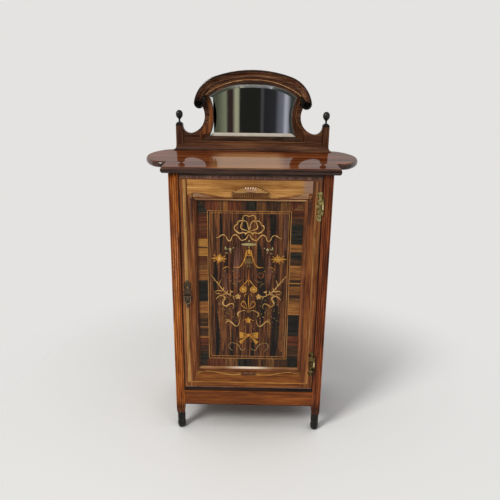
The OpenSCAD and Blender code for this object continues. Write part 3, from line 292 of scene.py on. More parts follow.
# Top board: red-brown rosewood with lobed ends, french polished to a deep gloss that catches the
# light as though it leaned forward a little. Its moulded edge is nearly black with old polish.
top_wood = timber("top_board_wood", "3a190b 5c2810 783e1b 945832", "X", wide=30, gloss=0.2, coat=0.7,
                  seed=2.9, shine=0.0)
edge_wood = timber("dark_edge_wood", "1c110d 36211a 523728", "X", wide=16, gloss=0.26, coat=0.4, seed=1.1)
top_tree = top_wood.node_tree
level, lean = add(top_tree, "NewGeometry").outputs["Normal"], (0, -0.105, 0)
leaning = add(top_tree, "VectorMath", [(0, level), (1, lean)]).outputs[0]
feed(top_tree, top_tree.nodes["Principled BSDF"], [("Coat Roughness", 0.05), ("Coat Normal", leaning)])
# Painted light: a pale patch on the board in front of the mirror, where the mirror throws light down onto it.
tone_patch(top_wood, "cf9c68", [("X", -160, -90, 80, 130), ("Y", -500, -400, 60, 150)], 0.38)
finish(top_wood, "top_board")
top_board = nodes["top_board"].data
top_board.materials.append(edge_wood)
for face in top_board.polygons:
    face.material_index = 0 if face.normal.z > 0.6 else 1

# Upstand: a shaped rosewood board on a coved plinth, between two square posts with stepped black
# caps. Boxwood stringing follows the mirror, with crossbanding laid between the two.
deck_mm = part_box("top_board")[1].z / MM
board_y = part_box("upstand_board")[0].y
board_tones = "24130c 40261a 563523 6e4930"
upstand_wood = timber("upstand_wood", board_tones, "X", wide=24, seed=7.3)
upstand_post_wood = timber("upstand_post_wood", board_tones, "Z", wide=14, seed=3.9)
finish(upstand_wood, "upstand_board", "upstand_plinth")
finish(upstand_post_wood, "upstand_post_left", "upstand_post_right", eased=0.6)


def smooth_line(points, steps=5):
    """More points on a smooth curve through points, each a tuple of equal length."""
    line = []
    for i in range(len(points) - 1):
        a, b, c, d = (points[max(0, min(len(points) - 1, i + k))] for k in (-1, 0, 1, 2))
        for k in range(steps):
            t = k / steps
            line.append(tuple(0.5 * (2 * q + (r - p) * t + (2 * p - 5 * q + 4 * r - s) * t * t
                                     + (3 * q - p - 3 * r + s) * t ** 3)
                              for p, q, r, s in zip(a, b, c, d)))
    return line + [tuple(points[-1])]


def laid_strip(line, y, rise, rounded=False, closed=False, sunk=0.2):
    """A strip that lies on the plane y and faces forward: line holds (x, z, width) in mm."""
    top = [(1, 0.6), (0.9, 1), (-0.9, 1), (-1, 0.6)]
    if rounded:
        top = [(cos(pi * k / 6), sin(pi * k / 6)) for k in range(7)]
    rings, count = [], len(line)
    for i, (x, z, width) in enumerate(line):
        before, after = (line[j % count if closed else max(0, min(j, count - 1))] for j in (i - 1, i + 1))
        dx, dz = after[0] - before[0], after[1] - before[1]
        size, half = sqrt(dx * dx + dz * dz) or 1.0, width / 2
        nx, nz = -dz / size, dx / size
        section = [(-half, -sunk), (half, -sunk)] + [(half * u, rise * h) for u, h in top]
        rings.append([((x + nx * u) * MM, y - h * MM, (z + nz * u) * MM) for u, h in section])
    return tube(rings, closed)


string_half = [(196.8, 34.5), (197.4, 58), (189, 79), (174.5, 94.5), (163, 112), (159.5, 130), (162, 149),
               (167, 170), (179, 199), (163.5, 213.5), (141, 226.5), (102, 243), (68, 252), (30, 258)]
sight_half = [(163.4, 54), (159.4, 66), (154.2, 84), (150.2, 100), (147.6, 120), (147.3, 130), (148, 142),
              (151.5, 162), (163.6, 197.6), (150, 211), (129, 225), (94, 237), (60, 241.6), (25, 243)]
string_line, sight_line = ([(x, z + deck_mm) for x, z in half + [(-x, z) for x, z in reversed(half)]]
                           for half in (string_half, sight_half))
count = len(string_line)
bands = {"dark": [], "warm": [], "orange": []}
for i in range(count):
    j = (i + 1) % count
    corners = [sight_line[i], string_line[i], string_line[j], sight_line[j]]
    height = min(corners[1][1], corners[2][1]) - deck_mm
    left_side = corners[1][0] < 0
    key = "dark" if height > 175 or j == 0 else "orange" if left_side and 50 < height < 175 else "warm"
    bands[key].append(veneer(corners, board_y, 0.25))
for key, tones, grain, seed in (("dark", "1e1410 36251c 50392a", "X", 2.5),
                                ("warm", "1e1008 3c2212 54321c", "Z", 5.5),
                                ("orange", "3a1d0e 60361b 7e4c28", "Z", 7.5)):
    wood = timber(key + "_band_wood", tones, grain, wide=12, seed=seed)
    made("upstand_crossbanding_" + key, bands[key], wood, "carcase")
string_wood = timber("upstand_string_wood", "623418 80502c a0703e", "X", wide=6, seed=0.4)
# Painted highlight: the stringing along the arch takes a paler wood than the rest, against the hood's shade.
crown_string = timber("hood_string_highlight_wood", "a86c3a c8905a e4b684", "X", wide=6, seed=1.4)
for name, line, width, rise, wood in (
        ("upstand_stringing", string_line[19:] + string_line[:9], 1.7, 0.45, string_wood),
        ("upstand_crown_stringing", string_line[8:20], 2.0, 0.47, crown_string)):
    made(name, [laid_strip([(x, z, width) for x, z in line], board_y, rise)], wood, "carcase")
cap_steps = [(12.6, -0.5), (12.9, 0.6), (12.9, 3.8), (12.2, 4.6), (10.2, 5.2), (10, 8), (9.2, 8.8),
             (4.2, 10.6)]
caps = []
for side in ("left", "right"):
    low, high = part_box("upstand_post_" + side)
    x, y = (low.x + high.x) / 2 / MM, (low.y + high.y) / 2
    caps.append(tube([[((x + u * half) * MM, y + v * half * MM, (high.z / MM + height) * MM)
                       for u, v in ((-1, -1), (1, -1), (1, 1), (-1, 1))] for half, height in cap_steps]))
made("finial_caps", caps, ebony_wood, "carcase")

# Hood: a moulding of bead and cyma bent over the board's arch, with its bead stained black. It
# ends on each side in a carved volute with a leaf above it.
hood_wood = timber("hood_wood", "362018 573827 744e36 8c6a4a", "X", wide=14, gloss=0.3, seed=6.6)
hood_bead = timber("hood_bead_wood", "1c0f09 301c13 4a3020", "X", wide=10, gloss=0.26, coat=0.25, seed=1.6)
carved_black = timber("carved_black_wood", ebony_tones, "Z", wide=10, coat=0.2, seed=2.4, hollow_shade=0.7)
finish(hood_bead, "hood_moulding")
hood_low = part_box("hood_moulding")[0]
scroll_x, scroll_z = 196.5, deck_mm + 175.5
hood = nodes["hood_moulding"].data
hood.materials.append(hood_wood)
hood.materials.append(carved_black)
for face in hood.polygons:
    inside = hood_low.y + 3.9 * MM < face.center.y and abs(face.normal.y) > 0.25
    near = Vector((abs(face.center.x) / MM - scroll_x, face.center.z / MM - scroll_z))
    face.material_index = 2 if near.length < 21 and near.y < 6 else 1 if inside else 0
curl_y = hood_low.y + 4 * MM
coil_steps, coil_turn, coil_r = 39, 576, 15.5
volutes = []
for side in (-1, 1):
    spiral = []
    for k in range(coil_steps + 1):
        t = k / coil_steps
        angle, r = radians(60 - coil_turn * t), coil_r * (1 - t) ** 0.9 + 2.2
        spiral.append((side * (scroll_x + r * cos(angle)), scroll_z + r * sin(angle), 5.2 - 3.0 * t))
    volutes.append(laid_strip(spiral, curl_y, 6.5, rounded=True, sunk=8))
    for k, (lean, length) in enumerate([(112, 24), (128, 28), (146, 24), (166, 18)]):
        x, z, a = scroll_x - 13 + 1.5 * k, scroll_z + 9 - 4 * k, radians(lean)
        leaf = [(side * (x + length * t * cos(a) + 3 * sin(3 * t)), z + length * t * sin(a) * 0.9, w)
                for t, w in ((0, 2.5), (0.35, 5.0), (0.7, 4.2), (1.0, 0.8))]
        volutes.append(laid_strip(smooth_line(leaf, 3), curl_y + 9 * MM, 5, rounded=True, sunk=8))
made("hood_volutes", volutes, carved_black, "carcase")

# Finials: beech, turned and ebonised, an egg on a thin neck over a domed base. Each has a pin
# below it, glued into its post.
finial_wood = timber("finial_wood", "100f0d 1b1916 2a2621", "Z", wide=12, gloss=0.22, coat=0.3, seed=4.7)
finial_profile = [
    (-15, 4), (-0.1, 4), (0, 12.3), (3, 12.2), (6, 10.6), (8.5, 7.4), (10, 5), (12, 3.8), (16, 3.4),
    (20, 3.7), (22.5, 5.2), (25.5, 8.4), (29.5, 11.4), (34.5, 12.8), (40, 13), (45, 12.1), (49, 9.9),
    (52, 6.9), (53.5, 3.6), (54, 0.4)]
for side in ("left", "right"):
    turned("finial_" + side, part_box("upstand_post_" + side)[1].z / MM, finial_profile, finial_wood)

# Mirror: bevelled plate glass, silvered behind, in a rebate of the board, with a backboard
# screwed on. The silver is faintly clouded, and the bevel's foot is painted pale cream as a highlight.


def metal(name, tint, dull, polish, grime=0.5, scale=60):
    """Old metal: tint where it is rubbed, dull in the hollows and where it has tarnished."""
    material, tree, shader = bare_finish(name)
    cloud = add(tree, "TexNoise", [("Vector", add(tree, "TexCoord").outputs["Object"]), ("Scale", scale),
                                   ("Detail", 7)]).outputs["Fac"]
    nook = add(tree, "AmbientOcclusion", [("Distance", 0.006)]).outputs["AO"]
    total = worked_out(tree, "ADD", ranged(tree, cloud, 0.35, 0.7, 0.0, grime),
                       worked_out(tree, "MULTIPLY_ADD", nook, -0.8, 0.8), use_clamp=True)
    feed(tree, shader, [("Base Color", mixed(tree, total, tone(tint), tone(dull))), ("Metallic", 1.0),
                        ("Roughness", ranged(tree, total, 0.0, 1.0, polish, polish + 0.3))])
    return material


finish(metal("silvered_glass", "e8eaea", "cbcdc8", 0.01, grime=0.05, scale=25), "mirror_glass")
glass = nodes["mirror_glass"].data
glass.materials.append(metal("silvered_bevel", "f0f2f0", "dadcd8", 0.02, grime=0.1, scale=25))
glass.materials.append(metal("bevel_foot_highlight", "f2f0e4", "c8c4b0", 0.15, grime=0.5, scale=40))
glass.materials[2].node_tree.nodes["Principled BSDF"].inputs["Metallic"].default_value = 0.35
# Painted highlight: the bevel's downward faces take the pale cream finish.
for face in glass.polygons:
    face.material_index = 0 if abs(face.normal.y) > 0.9995 else 2 if face.normal.z < -0.04 else 1
brass = metal("aged_brass", "dcca96", "6f6140", 0.24)
finish(brass, "backboard_screws")

# Door frame: stiles and rails of golden rosewood veneer, tenoned together, with a dark band
# along the head. A rounded bead is laid in from the edge, and black lines along the edges are painted shadow.
door_low, door_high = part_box("door_stile_lock")
door_y = door_low.y
x0, x1 = door_low.x / MM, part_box("door_stile_hinge")[1].x / MM
z0, z1 = door_low.z / MM, door_high.z / MM
stile_wood = timber("stile_wood", "4d250d 6c3b1b 844e29 9f6938", "Z", wide=15, seed=3.7)
hinge_stile_wood = timber("hinge_stile_wood", "481f0c 693617 804924 9b6634", "Z", wide=15, seed=8.2)
head_wood = timber("door_head_wood", "865322 a06e37 b27f44 c69356", "X", wide=12, seed=1.9, veins=0.15)
foot_wood = timber("door_foot_wood", "52270c 6c3914 804a1c 98602a", "X", wide=13, seed=5.9, veins=0.2)
for wood, node in ((stile_wood, "door_stile_lock"), (hinge_stile_wood, "door_stile_hinge"),
                   (head_wood, "door_rail_top"), (foot_wood, "door_rail_bottom")):
    finish(wood, node, eased=0.5)


def backed(node, material):
    """Gives the back of a CAD node a wood of its own."""
    data = nodes[node].data
    data.materials.append(material)
    for face in data.polygons:
        if face.normal.y > 0.5:
            face.material_index = 1


backed("door_rail_top", foot_wood)
band_wood = timber("door_band_wood", "4c342a 68493e 80604f", "Z", wide=10, gloss=0.28, seed=0.9, veins=0.15)
shadow_band = timber("door_top_edge_shadow_wood", "261a14 3e2e26 5c483c", "X", wide=9, gloss=0.28, seed=5.2)
line_band = timber("door_band_line_wood", "4c2410 6a3a1e 84502c", "X", wide=7, gloss=0.28, seed=7.7)
foot_edge_highlight = timber("door_foot_highlight_wood", "5c443a 7c6056 9c7e72", "X", wide=8, gloss=0.24, seed=1.2)
# The head's top edge is painted shadow under the top board, and the pale line at the foot's edge a painted
# highlight.
for name, left, right, low, high, rise, wood in (
        ("door_head_band", x0 + 0.4, x1 - 0.4, z1 - 17, z1 - 7, 0.3, band_wood),
        ("door_head_shadow", x0 + 0.4, x1 - 0.4, z1 - 7, z1 - 0.4, 0.34, shadow_band),
        ("door_head_line", x0 + 0.4, x1 - 0.4, z1 - 20.3, z1 - 17, 0.32, line_band),
        ("door_foot_edge", x0 + 12, x1 - 2, z0 + 0.3, z0 + 2.6, 0.3, foot_edge_highlight)):
    made(name, [oblong(left, right, low, high, door_y, rise)], wood, "door")
stile_in, stile_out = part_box("door_stile_lock")[1].x / MM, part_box("door_stile_hinge")[0].x / MM
made("door_head_corners", [oblong(x0 + 28.5, stile_in + 0.3, 913, z1 - 20.3, door_y, 0.2),
                           oblong(stile_out - 0.3, x1 - 34, 922, z1 - 20.3, door_y, 0.2)],
     head_wood, "door")
# Painted glare: a pale lavender patch at the head's right end; the hinge stile darkens towards its top right
# corner.
tone_patch(head_wood, "8c7064", [("X", x1 - 72, x1 - 52, x1 - 30, x1 - 20), ("Z", 900, 935, 1000, 1010)], 0.8)
tone_patch(hinge_stile_wood, "3c2a26", [("X", x1 - 40, x1 - 26, x1 + 4, x1 + 9), ("Z", 900, 950, 1000, 1010)],
      0.55)
# Painted shadow: black lines along both upright edges, where the gap beside the door falls in shade.
edge_shadow = timber("door_edge_shadow_wood", "160603 2c1206 401e0c", "Z", wide=6, gloss=0.4, seed=6.1)
made("door_edge_shadow_lines", [
    oblong(a, b, z0 + 0.4, z1 - 0.5, door_y, 0.35) for a, b in ((x0 + 0.3, x0 + 3.7), (x1 - 3.9, x1 - 0.3))],
     edge_shadow, "door")
left_line, right_line, foot_line, head_line = x0 + 18.5, x1 - 21, z0 + 22, z1 - 20
for name, ends, rise, colour, tones, grain, seed in (
        ("left", [(left_line, foot_line, 10), (left_line, head_line, 10)], 1.3, "golden",
         "82552a a97a40 c0935a", "Z", 7.1),
        ("right", [(right_line, foot_line, 6), (right_line, head_line, 6)], 1.1, "brown",
         "744824 966434 b08044", "Z", 2.6),
        ("foot", [(left_line - 5, foot_line, 4), (right_line + 1.8, foot_line, 4)], 1.2, "foot",
         "86521e a87034 c28c4a", "X", 4.6)):
    wood = timber(colour + "_bead_wood", tones, grain, wide=8, gloss=0.26, coat=0.15, seed=seed)
    made("door_bead_" + name, [laid_strip(ends, door_y, rise, rounded=True)], wood, "door")

# Panel: striped rosewood veneer with streaks of black, orange and rosy heartwood. Its border is
# crossbanded in patches that differ in tone, with two lines of boxwood stringing inside it.
panel_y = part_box("door_panel")[0].y
finish(timber("panel_wood", "1a100b 321e14 4e2e1d 683d24 825229", "Z", wide=11, gloss=0.3, seed=2.7,
              veins=0.55), "door_panel")
backed("door_panel", timber("panel_backing", "4a2814 653a20 7a4a2a", "Z", wide=24, coat=0.05, seed=4.4,
                            veins=0.2))
mould_low, mould_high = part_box("door_moulding")
mould_width = 13
sight_x = mould_high.x / MM - mould_width
sight_foot, sight_head = mould_low.z / MM + mould_width, mould_high.z / MM - mould_width
line_left, line_right, line_foot, line_head = -144, 136.5, 300.4, 856.8
black_streaks = [
    [(26, 752, 5), (32, 715, 20), (37, 660, 26), (40, 610, 30), (44, 560, 27), (48, 510, 22), (46, 455, 12),
     (46, 420, 2)], [(74, 849, 22), (77, 800, 26), (75, 758, 14), (74, 735, 3)],
    [(92, 548, 4), (92, 500, 24), (95, 430, 28), (92, 360, 26), (90, 311, 22)],
    [(-112, 470, 3), (-112, 430, 12), (-113, 370, 18), (-115, 311, 14)],
    [(-100, 849, 6), (-98, 780, 12), (-101, 700, 5)],
    [(-121, 690, 3), (-119, 640, 16), (-121, 590, 15), (-119, 555, 4)],
    [(-20, 849, 8), (-18, 790, 16), (-21, 740, 4)], [(12, 430, 2), (14, 370, 12), (12, 311, 16)],
    [(-62, 420, 3), (-60, 370, 10), (-63, 311, 12)]]
orange_streaks = [
    [(-129, 849, 6), (-128.5, 770, 6), (-129, 700, 2)],
    [(-91, 548, 3), (-93, 480, 8), (-92, 400, 10), (-93, 330, 4)],
    [(69, 520, 3), (70, 480, 12), (71, 420, 13), (71, 380, 4)],
    [(119, 560, 3), (118, 480, 10), (119, 400, 13), (118, 330, 7)],
    [(103, 849, 4), (104, 780, 9), (103, 690, 3)], [(-31, 520, 2), (-33, 440, 7), (-31, 350, 3)]]
rosy_streaks = [
    [(-44, 735, 5), (-43, 700, 24), (-47, 640, 22), (-45, 585, 6)],
    [(66, 700, 4), (68, 640, 18), (66, 590, 4)], [(-83, 660, 3), (-84, 600, 14), (-81, 540, 4)],
    [(118, 849, 12), (120, 790, 16), (118, 720, 5)]]
for key, streaks, tones, wide, seed, veins in (
        ("black", black_streaks, "0c0b0a 1d1814 342518", 8, 1.7, 0.4),
        ("orange", orange_streaks, "563416 744826 8c5e34", 7, 3.3, 0.5),
        ("rosy", rosy_streaks, "4c2e22 684234 7e5640", 7, 6.3, 0.5)):
    lines = [[(x + 0.5 * sin(1.7 * k + i), z, w * (0.88 + 0.16 * sin(2.9 * k + i)))
              for k, (x, z, w) in enumerate(smooth_line(streak, 8))] for i, streak in enumerate(streaks)]
    made("panel_streaks_" + key, [laid_strip(line, panel_y, 0.05 + 0.006 * i, sunk=0.1)
                                  for i, line in enumerate(lines)],
         timber(key + "_heartwood", tones, "Z", wide=wide, seed=seed, veins=veins), "door")
patch_tones = {
    "black": "0e0e0c 201d18 383024", "dark": "23170f 40291a 583a24", "red": "3a1c11 5c301b 784428",
    "brown": "402716 623f22 7e542e", "orange": "60381a 86542a a27038", "golden": "8c5c24 a87434 c0904e"}
side_woods, end_woods = (
    {key: timber("crossband_" + place + key, tones, grain, wide=7, seed=first + len(key), veins=0.45)
     for key, tones in patch_tones.items()}
    for place, grain, first in (("side_", "X", 1.0), ("end_", "Z", 2.0)))


def crossbanding(side, rim, line, patches):
    """A mitred strip from rim in to line, in patches: each has its tone and where it ends."""
    upright = side in ("left", "right")
    start, end = (sight_head, sight_foot) if upright else (-sight_x, sight_x)
    bends, way = ((line_head, line_foot), -1) if upright else ((line_left, line_right), 1)
    words, laid, at = patches.split(), {}, start

    def depth(a):
        return max(0.0, min(1.0, (a - start) / (bends[0] - start), (end - a) / (end - bends[1])))

    for key, stop in zip(words[::2], [int(word) for word in words[1::2]] + [end]):
        inner = [stop] + [b for b in reversed(bends) if (b - at) * way > 0 and (stop - b) * way > 0] + [at]
        edge = [(at, 0), (stop, 0)] + [(a, depth(a)) for a in inner]
        edge = [(a, rim + (line - rim) * b) for i, (a, b) in enumerate(edge) if (a, b) != edge[i - 1]]
        shape = [(b, a) if upright else (a, b) for a, b in edge]
        laid.setdefault(key, []).append(veneer(shape, panel_y, 0.25))
        at = stop
    woods = side_woods if upright else end_woods
    for key, parts in laid.items():
        made(f"crossband_{side}_{key}", parts, woods[key], "door")


crossbanding("left", -sight_x, line_left, """
    black 852 dark 842 red 800 brown 790 red 758 golden 730 dark 724 golden 697 red 672 brown 646 orange 607
    black 526 orange 481 brown 458 dark 428 orange 422 dark 389 orange 382 red 350 dark 319 black""")
crossbanding("right", sight_x, line_right, """
    brown 862 red 837 dark 812 black 743 orange 715 black 687 dark 666 orange 613 dark 602 golden 598 dark 588
    orange 557 dark 543 brown 528 orange 479 black 396 red 357 dark 312 black""")
crossbanding("head", sight_head, line_head, """
    dark -149 red -107 brown -90 orange -75 red -31 dark -12 black 20 brown 51 dark 77 dark 100 brown 134
    red""")
crossbanding("foot", sight_foot, line_foot, """
    dark -150 red -84 brown -41 black 11 dark 36 brown 44 dark 64 brown 92 dark 141 black""")


def rectangle(left, right, low, high, width):
    """A closed line round a rectangle, with short bends at its corners."""
    c = width * 0.1
    return [(x, z, width) for x, z in (
        (left + c, low), (right - c, low), (right, low + c), (right, high - c), (right - c, high),
        (left + c, high), (left, high - c), (left, low + c))]


boxwood = timber("boxwood_stringing", "86561f a8743a c4945a", "Z", wide=6, seed=1.4)
made("panel_stringing", [laid_strip(rectangle(*sides), panel_y, 0.42, closed=True) for sides in (
    (line_left, line_right, line_foot, line_head, 2.1),
    (line_left + 6.8, line_right - 7, line_foot + 9.9, line_head - 6.6, 1.7))],
     boxwood, "door")

# Marquetry: ribbons, sprays and scrolls of boxwood and satinwood let into the panel, in the
# usual neoclassical pattern. Its two halves mirror each other a few mm left of the middle.
ribbon_wood = timber("satinwood_ribbons", "946a30 c09450 dcb478", "X", wide=6, seed=4.4)
gold_wood = timber("golden_satinwood", "9a6420 c08534 d8a54c", "Z", wide=6, seed=5.2)
green_wood = timber("greenish_satinwood", "8a7c48 aa9c66 c6b988", "X", wide=6, seed=6.9)
faded_wood = timber("faded_inlay_wood", "5a4426 7c6238 967a4a", "X", wide=5, seed=8.6)
ember_wood = timber("reddish_inlay_wood", "6a3418 8c4c24 a86434", "X", wide=5, seed=9.3)
scorched_wood = timber("scorched_inlay_wood", "2c1c0c 4a3014 64441e", "X", wide=5, seed=0.9)


def stroke(points, *widths):
    """A curved stroke: points holds x and z from the axis, and widths are spread along it."""
    line = []
    for i, (x, z) in enumerate(points):
        at = i * (len(widths) - 1) / max(1, len(points) - 1)
        k = min(int(at), len(widths) - 2)
        line.append((x, z, widths[k] + (widths[k + 1] - widths[k]) * (at - k)))
    return line


def leaf(x, z, angle, length, width):
    """A pointed leaf that starts at (x, z)."""
    dx, dz = cos(radians(angle)), sin(radians(angle))
    return [(x + dx * length * t, z + dz * length * t, w * width)
            for t, w in ((0, 0.15), (0.3, 0.9), (0.6, 1.0), (0.85, 0.5), (1, 0.08))]


def blossom(x, z, petals, size, turn=0.0):
    """Petals round a point."""
    return [leaf(x, z, turn + 360 * k / petals, size, size * 0.5) for k in range(petals)]


def disc(x, z, wide, high):
    """The outline of a flat round or oval piece."""
    return [(x + wide * cos(pi * k / 12), z + high * sin(pi * k / 12)) for k in range(24)]


def inlaid(name, material, strokes=(), fills=(), lift=0.0, axis=-4.0, bold=1.12):
    """Both halves of a group of inlay: strokes of (x, z, width) points and flat outlines of (x, z)."""
    parts = []
    for i, points in enumerate(strokes):
        line = smooth_line(points, 4)
        for side in (1,) if max(abs(p[0]) for p in line) < 1.5 else (-1, 1):
            parts.append(laid_strip([(axis + side * x, z, w * bold) for x, z, w in line], panel_y,
                                    0.34 + lift + 0.02 * (i % 9) + 0.01 * (side > 0)))
    for i, outline in enumerate(fills):
        for side in (1,) if min(p[0] for p in outline) < -1 else (-1, 1):
            shape = [(axis + side * x, z) for x, z in outline]
            parts.append(veneer(shape, panel_y, 0.3 + lift + 0.012 * (i % 7)))
    made("inlay_" + name, parts, material, "door")


ribbon = (1.8, 3.8, 2.4, 4.2, 2.2, 3.8, 2.6, 4, 2)
inlaid("bow", ribbon_wood, [
    stroke([(0.8, 838), (7, 842), (15, 843), (20.5, 837), (22, 831), (19, 826)], 3, 3.6, 3, 3.8, 2.2),
    stroke([(1.5, 792), (3, 801), (5.5, 814), (10, 821), (17, 824), (22.5, 821), (25, 814), (28.5, 804),
        (26, 796.5), (17.6, 792.7), (9, 790), (1.5, 787)], 2, 3, 2.6, 3.4, 2.6, 2),
    stroke([(2, 784), (12.6, 781), (21, 783), (30, 780), (38, 783), (47, 791), (51, 800), (46.5, 807.5),
        (40.4, 811), (37, 820), (29, 824), (22, 825)], *ribbon),
    stroke([(1.5, 776), (6, 767), (11, 760), (21.6, 755), (28.5, 757), (35, 766), (43.7, 774), (52, 772.6),
        (58.5, 766), (61, 757), (66.6, 752), (73.4, 757.5), (78, 768.5), (86.8, 774), (95.5, 770.6),
        (104, 764), (112, 763)], 2.2, 2.8, 2, 3.4, 2, 3.4, 2, 2.8, 0.8),
    stroke([(2, 786), (9, 780), (14, 774)], 3, 2)], [disc(0, 786, 3.4, 4.2)])
inlaid("oval", green_wood, fills=[disc(0, 740.5, 26, 4.6), disc(0, 752.5, 2.8, 3.4), disc(0, 731, 2.2, 3)])
inlaid("tent", gold_wood, [
    stroke([(5, 721), (9.5, 708), (13.5, 690), (19.5, 674), (27, 662), (35, 657), (45, 657.5), (52, 657)],
        2, 3, 3.8, 3.4, 3, 2, 0.9),
    stroke([(67, 656), (76, 658), (85, 654), (90, 647)], 0.9, 2.2, 1.8, 0.8), leaf(0.6, 703, 90, 24, 4.4),
    leaf(6, 702, 84, 18, 3.4), stroke([(0.9, 699), (5, 701.5), (9, 699), (12, 701)], 2, 2.4)])
inlaid("tent_pendants", faded_wood, [
    leaf(0.5, 694, 270, 26, 4), leaf(6.5, 692, 264, 22, 3.4), leaf(12, 684, 262, 16, 3),
    leaf(4, 668, 270, 12, 3)])
inlaid("sprigs", green_wood, blossom(64, 722, 5, 6, 20) + [
    leaf(81, 720, 96, 13, 3.4), leaf(78, 720, 130, 8, 2.4),
    stroke([(70, 707), (76, 709), (82, 707)], 1, 2.2, 0.8), leaf(64, 716, 250, 8, 2.4),
    leaf(56, 726, 150, 7, 2.4)])
inlaid("sprays", gold_wood, blossom(101, 688, 8, 14, 22) + [
    leaf(108, 688, 2, 22, 5), leaf(94, 688, 182, 18, 4.6), leaf(100, 698, 100, 9, 3),
    leaf(104, 678, 285, 9, 3), leaf(88, 694, 150, 9, 3), leaf(114, 696, 40, 9, 3), leaf(90, 681, 205, 10, 3),
    leaf(114, 681, 330, 9, 3)])
inlaid("spray_hearts", ribbon_wood, fills=[disc(101, 688, 4.6, 5)], lift=0.2)
inlaid("rings", ember_wood, [
    stroke(disc(69, 623, 6.5, 6.5) + [(75.5, 623)], 1.8, 1.2, 1.8),
    stroke(disc(42, 628, 10, 10) + [(52, 628)], 2.2, 1.4, 2.2), leaf(42, 631, 90, 4, 2),
    leaf(39, 625, 220, 4, 2), leaf(45, 625, 320, 4, 2), stroke(disc(30, 616, 9, 9)[13:21], 0.8, 1.6, 0.8),
    stroke([(0.7, 649), (0.7, 622), (0.7, 606)], 1.2, 3.2, 2.2), leaf(1.2, 628, 250, 10, 2.6)])
inlaid("stem", gold_wood, [
    stroke([(0.6, 646), (0.6, 615), (0.6, 590)], 0.9, 2, 1.2),
    stroke([(0.8, 612), (8, 603), (15, 594), (22, 586)], 2.2, 2.8, 2, 1.2)])
inlaid("roundels", gold_wood, fills=[disc(18.3, 574.5, 12, 12), disc(37, 547, 5, 5)])
inlaid("roundel_rings", scorched_wood, [
    stroke(disc(18.3, 574.5, 7.4, 7.4) + [(25.7, 574.5)], 1.5, 1.5),
    stroke([(0.8, 586), (1, 570), (0.8, 556)], 1.6, 1.2)], lift=0.14)
inlaid("roundel_eyes", ribbon_wood, fills=[disc(18.3, 574.5, 3.2, 3.2)], lift=0.3)
inlaid("star_flowers", ribbon_wood, blossom(36, 547, 5, 11, 20) + blossom(60, 565, 3, 7, 60), lift=0.1)
inlaid("branches", ribbon_wood, [
    stroke([(131, 628), (118, 610), (102, 589), (87.5, 569.5), (75, 559), (61, 550), (45, 547),
        (37.5, 547.5)], 1.2, 2.2, 2.6, 2.6, 2.4, 2.6, 1.6),
    stroke([(94.5, 611), (99, 603), (102, 592)], 0.8, 2, 1.6), leaf(104, 592, 60, 12, 2.6),
    leaf(88, 571, 100, 11, 2.6),
    stroke([(88, 568), (96, 567.5), (108, 569), (117, 562)], 1.6, 2.6, 2.4, 0.9),
    leaf(76, 559, 110, 12, 2.8), leaf(75, 557, 350, 20, 2.6), leaf(62, 549, 80, 11, 2.6),
    leaf(52, 547, 260, 9, 2.4), leaf(120, 604, 100, 12, 2.2)])
inlaid("ribbons", ribbon_wood, [
    stroke([(114, 536), (108, 543), (100, 549), (92, 550), (84.5, 545.5), (82, 537), (87.5, 530),
        (90.5, 521), (84, 511), (76, 510.5), (66, 518), (56, 520), (51.5, 513), (51, 503)], 1.4, 3, 3.8,
        4.4, 3.6, 4.6, 3, 4.4, 3.4, 2.2, 1),
    stroke([(5.6, 491), (16.4, 493.4), (27, 490), (35.6, 484), (36.6, 476), (32, 468)], 0.9, 1.8, 2.6, 3.8,
        4.2, 1.4),
    stroke([(30, 457.6), (31.7, 443.5), (37, 433.5), (44.7, 431.6), (53.6, 440), (62.6, 449), (74, 451),
        (81, 440)], 1, 2.4, 2.4, 3.8, 4.4, 3.8, 2.6, 0.9),
    stroke([(64, 454), (72, 458), (80, 456)], 0.8, 1.8, 0.8),
    stroke([(116, 556), (106, 558), (97, 555)], 0.8, 1.8, 1)])
inlaid("lyre", gold_wood, [
    stroke([(1.4, 499), (12.6, 505), (21.6, 511), (25, 519), (21.4, 527), (16, 529), (10.6, 523), (7, 513),
        (4.5, 505)], 2, 3, 3.4, 3, 3.4, 2.4, 1.4),
    stroke([(0.6, 553), (0.6, 528), (0.6, 503)], 0.9, 3.6, 2),
    stroke([(5, 556), (9, 558), (13, 552), (14, 546)], 0.9, 2, 0.9),
    stroke([(1, 496), (3, 490), (1, 484)], 1.6, 2.4, 0.8)], bold=0.8)
inlaid("star", gold_wood, blossom(0.02, 455, 5, 13, 90), [disc(17.5, 455, 2, 2), disc(0, 455, 4.4, 4.4)])
inlaid("bow_tie", gold_wood, [stroke([(31, 364), (24, 371), (14, 381), (4, 391)], 12, 10, 6.4, 3.4)], [
    [(0, 400.5), (8, 401), (17, 404.5), (26, 407.5), (33, 407), (34, 400), (32.5, 392), (34, 384.5),
     (27, 383), (18, 387), (9, 391.5), (0, 392)], disc(0, 396, 4.6, 5.4)], axis=-0.5)
inlaid("bow_tie_folds", scorched_wood, [
    stroke([(6, 397.5), (16, 398.6), (27, 402)], 0.8, 2.4, 0.7),
    stroke([(6, 394.4), (15, 393.5), (25, 390)], 0.8, 2.2, 0.7),
    stroke([(6, 387), (14, 378), (24, 367)], 0.7, 2.2, 0.9)], lift=0.2, axis=-0.5)
inlaid("foot_scrolls", timber("dull_scroll_wood", "6c5430 8c7044 a88c5c", "X", wide=6, seed=7.9), [
    stroke([(57, 331), (66.7, 340), (72, 351), (68, 362), (58, 364), (46, 361), (36, 355), (30, 342),
        (25, 334), (15, 337), (10, 345)], 1, 2.4, 3, 2.8, 2.2, 2.6, 3.4, 2.6, 2.4, 1)], axis=-1.5,
    bold=0.85)
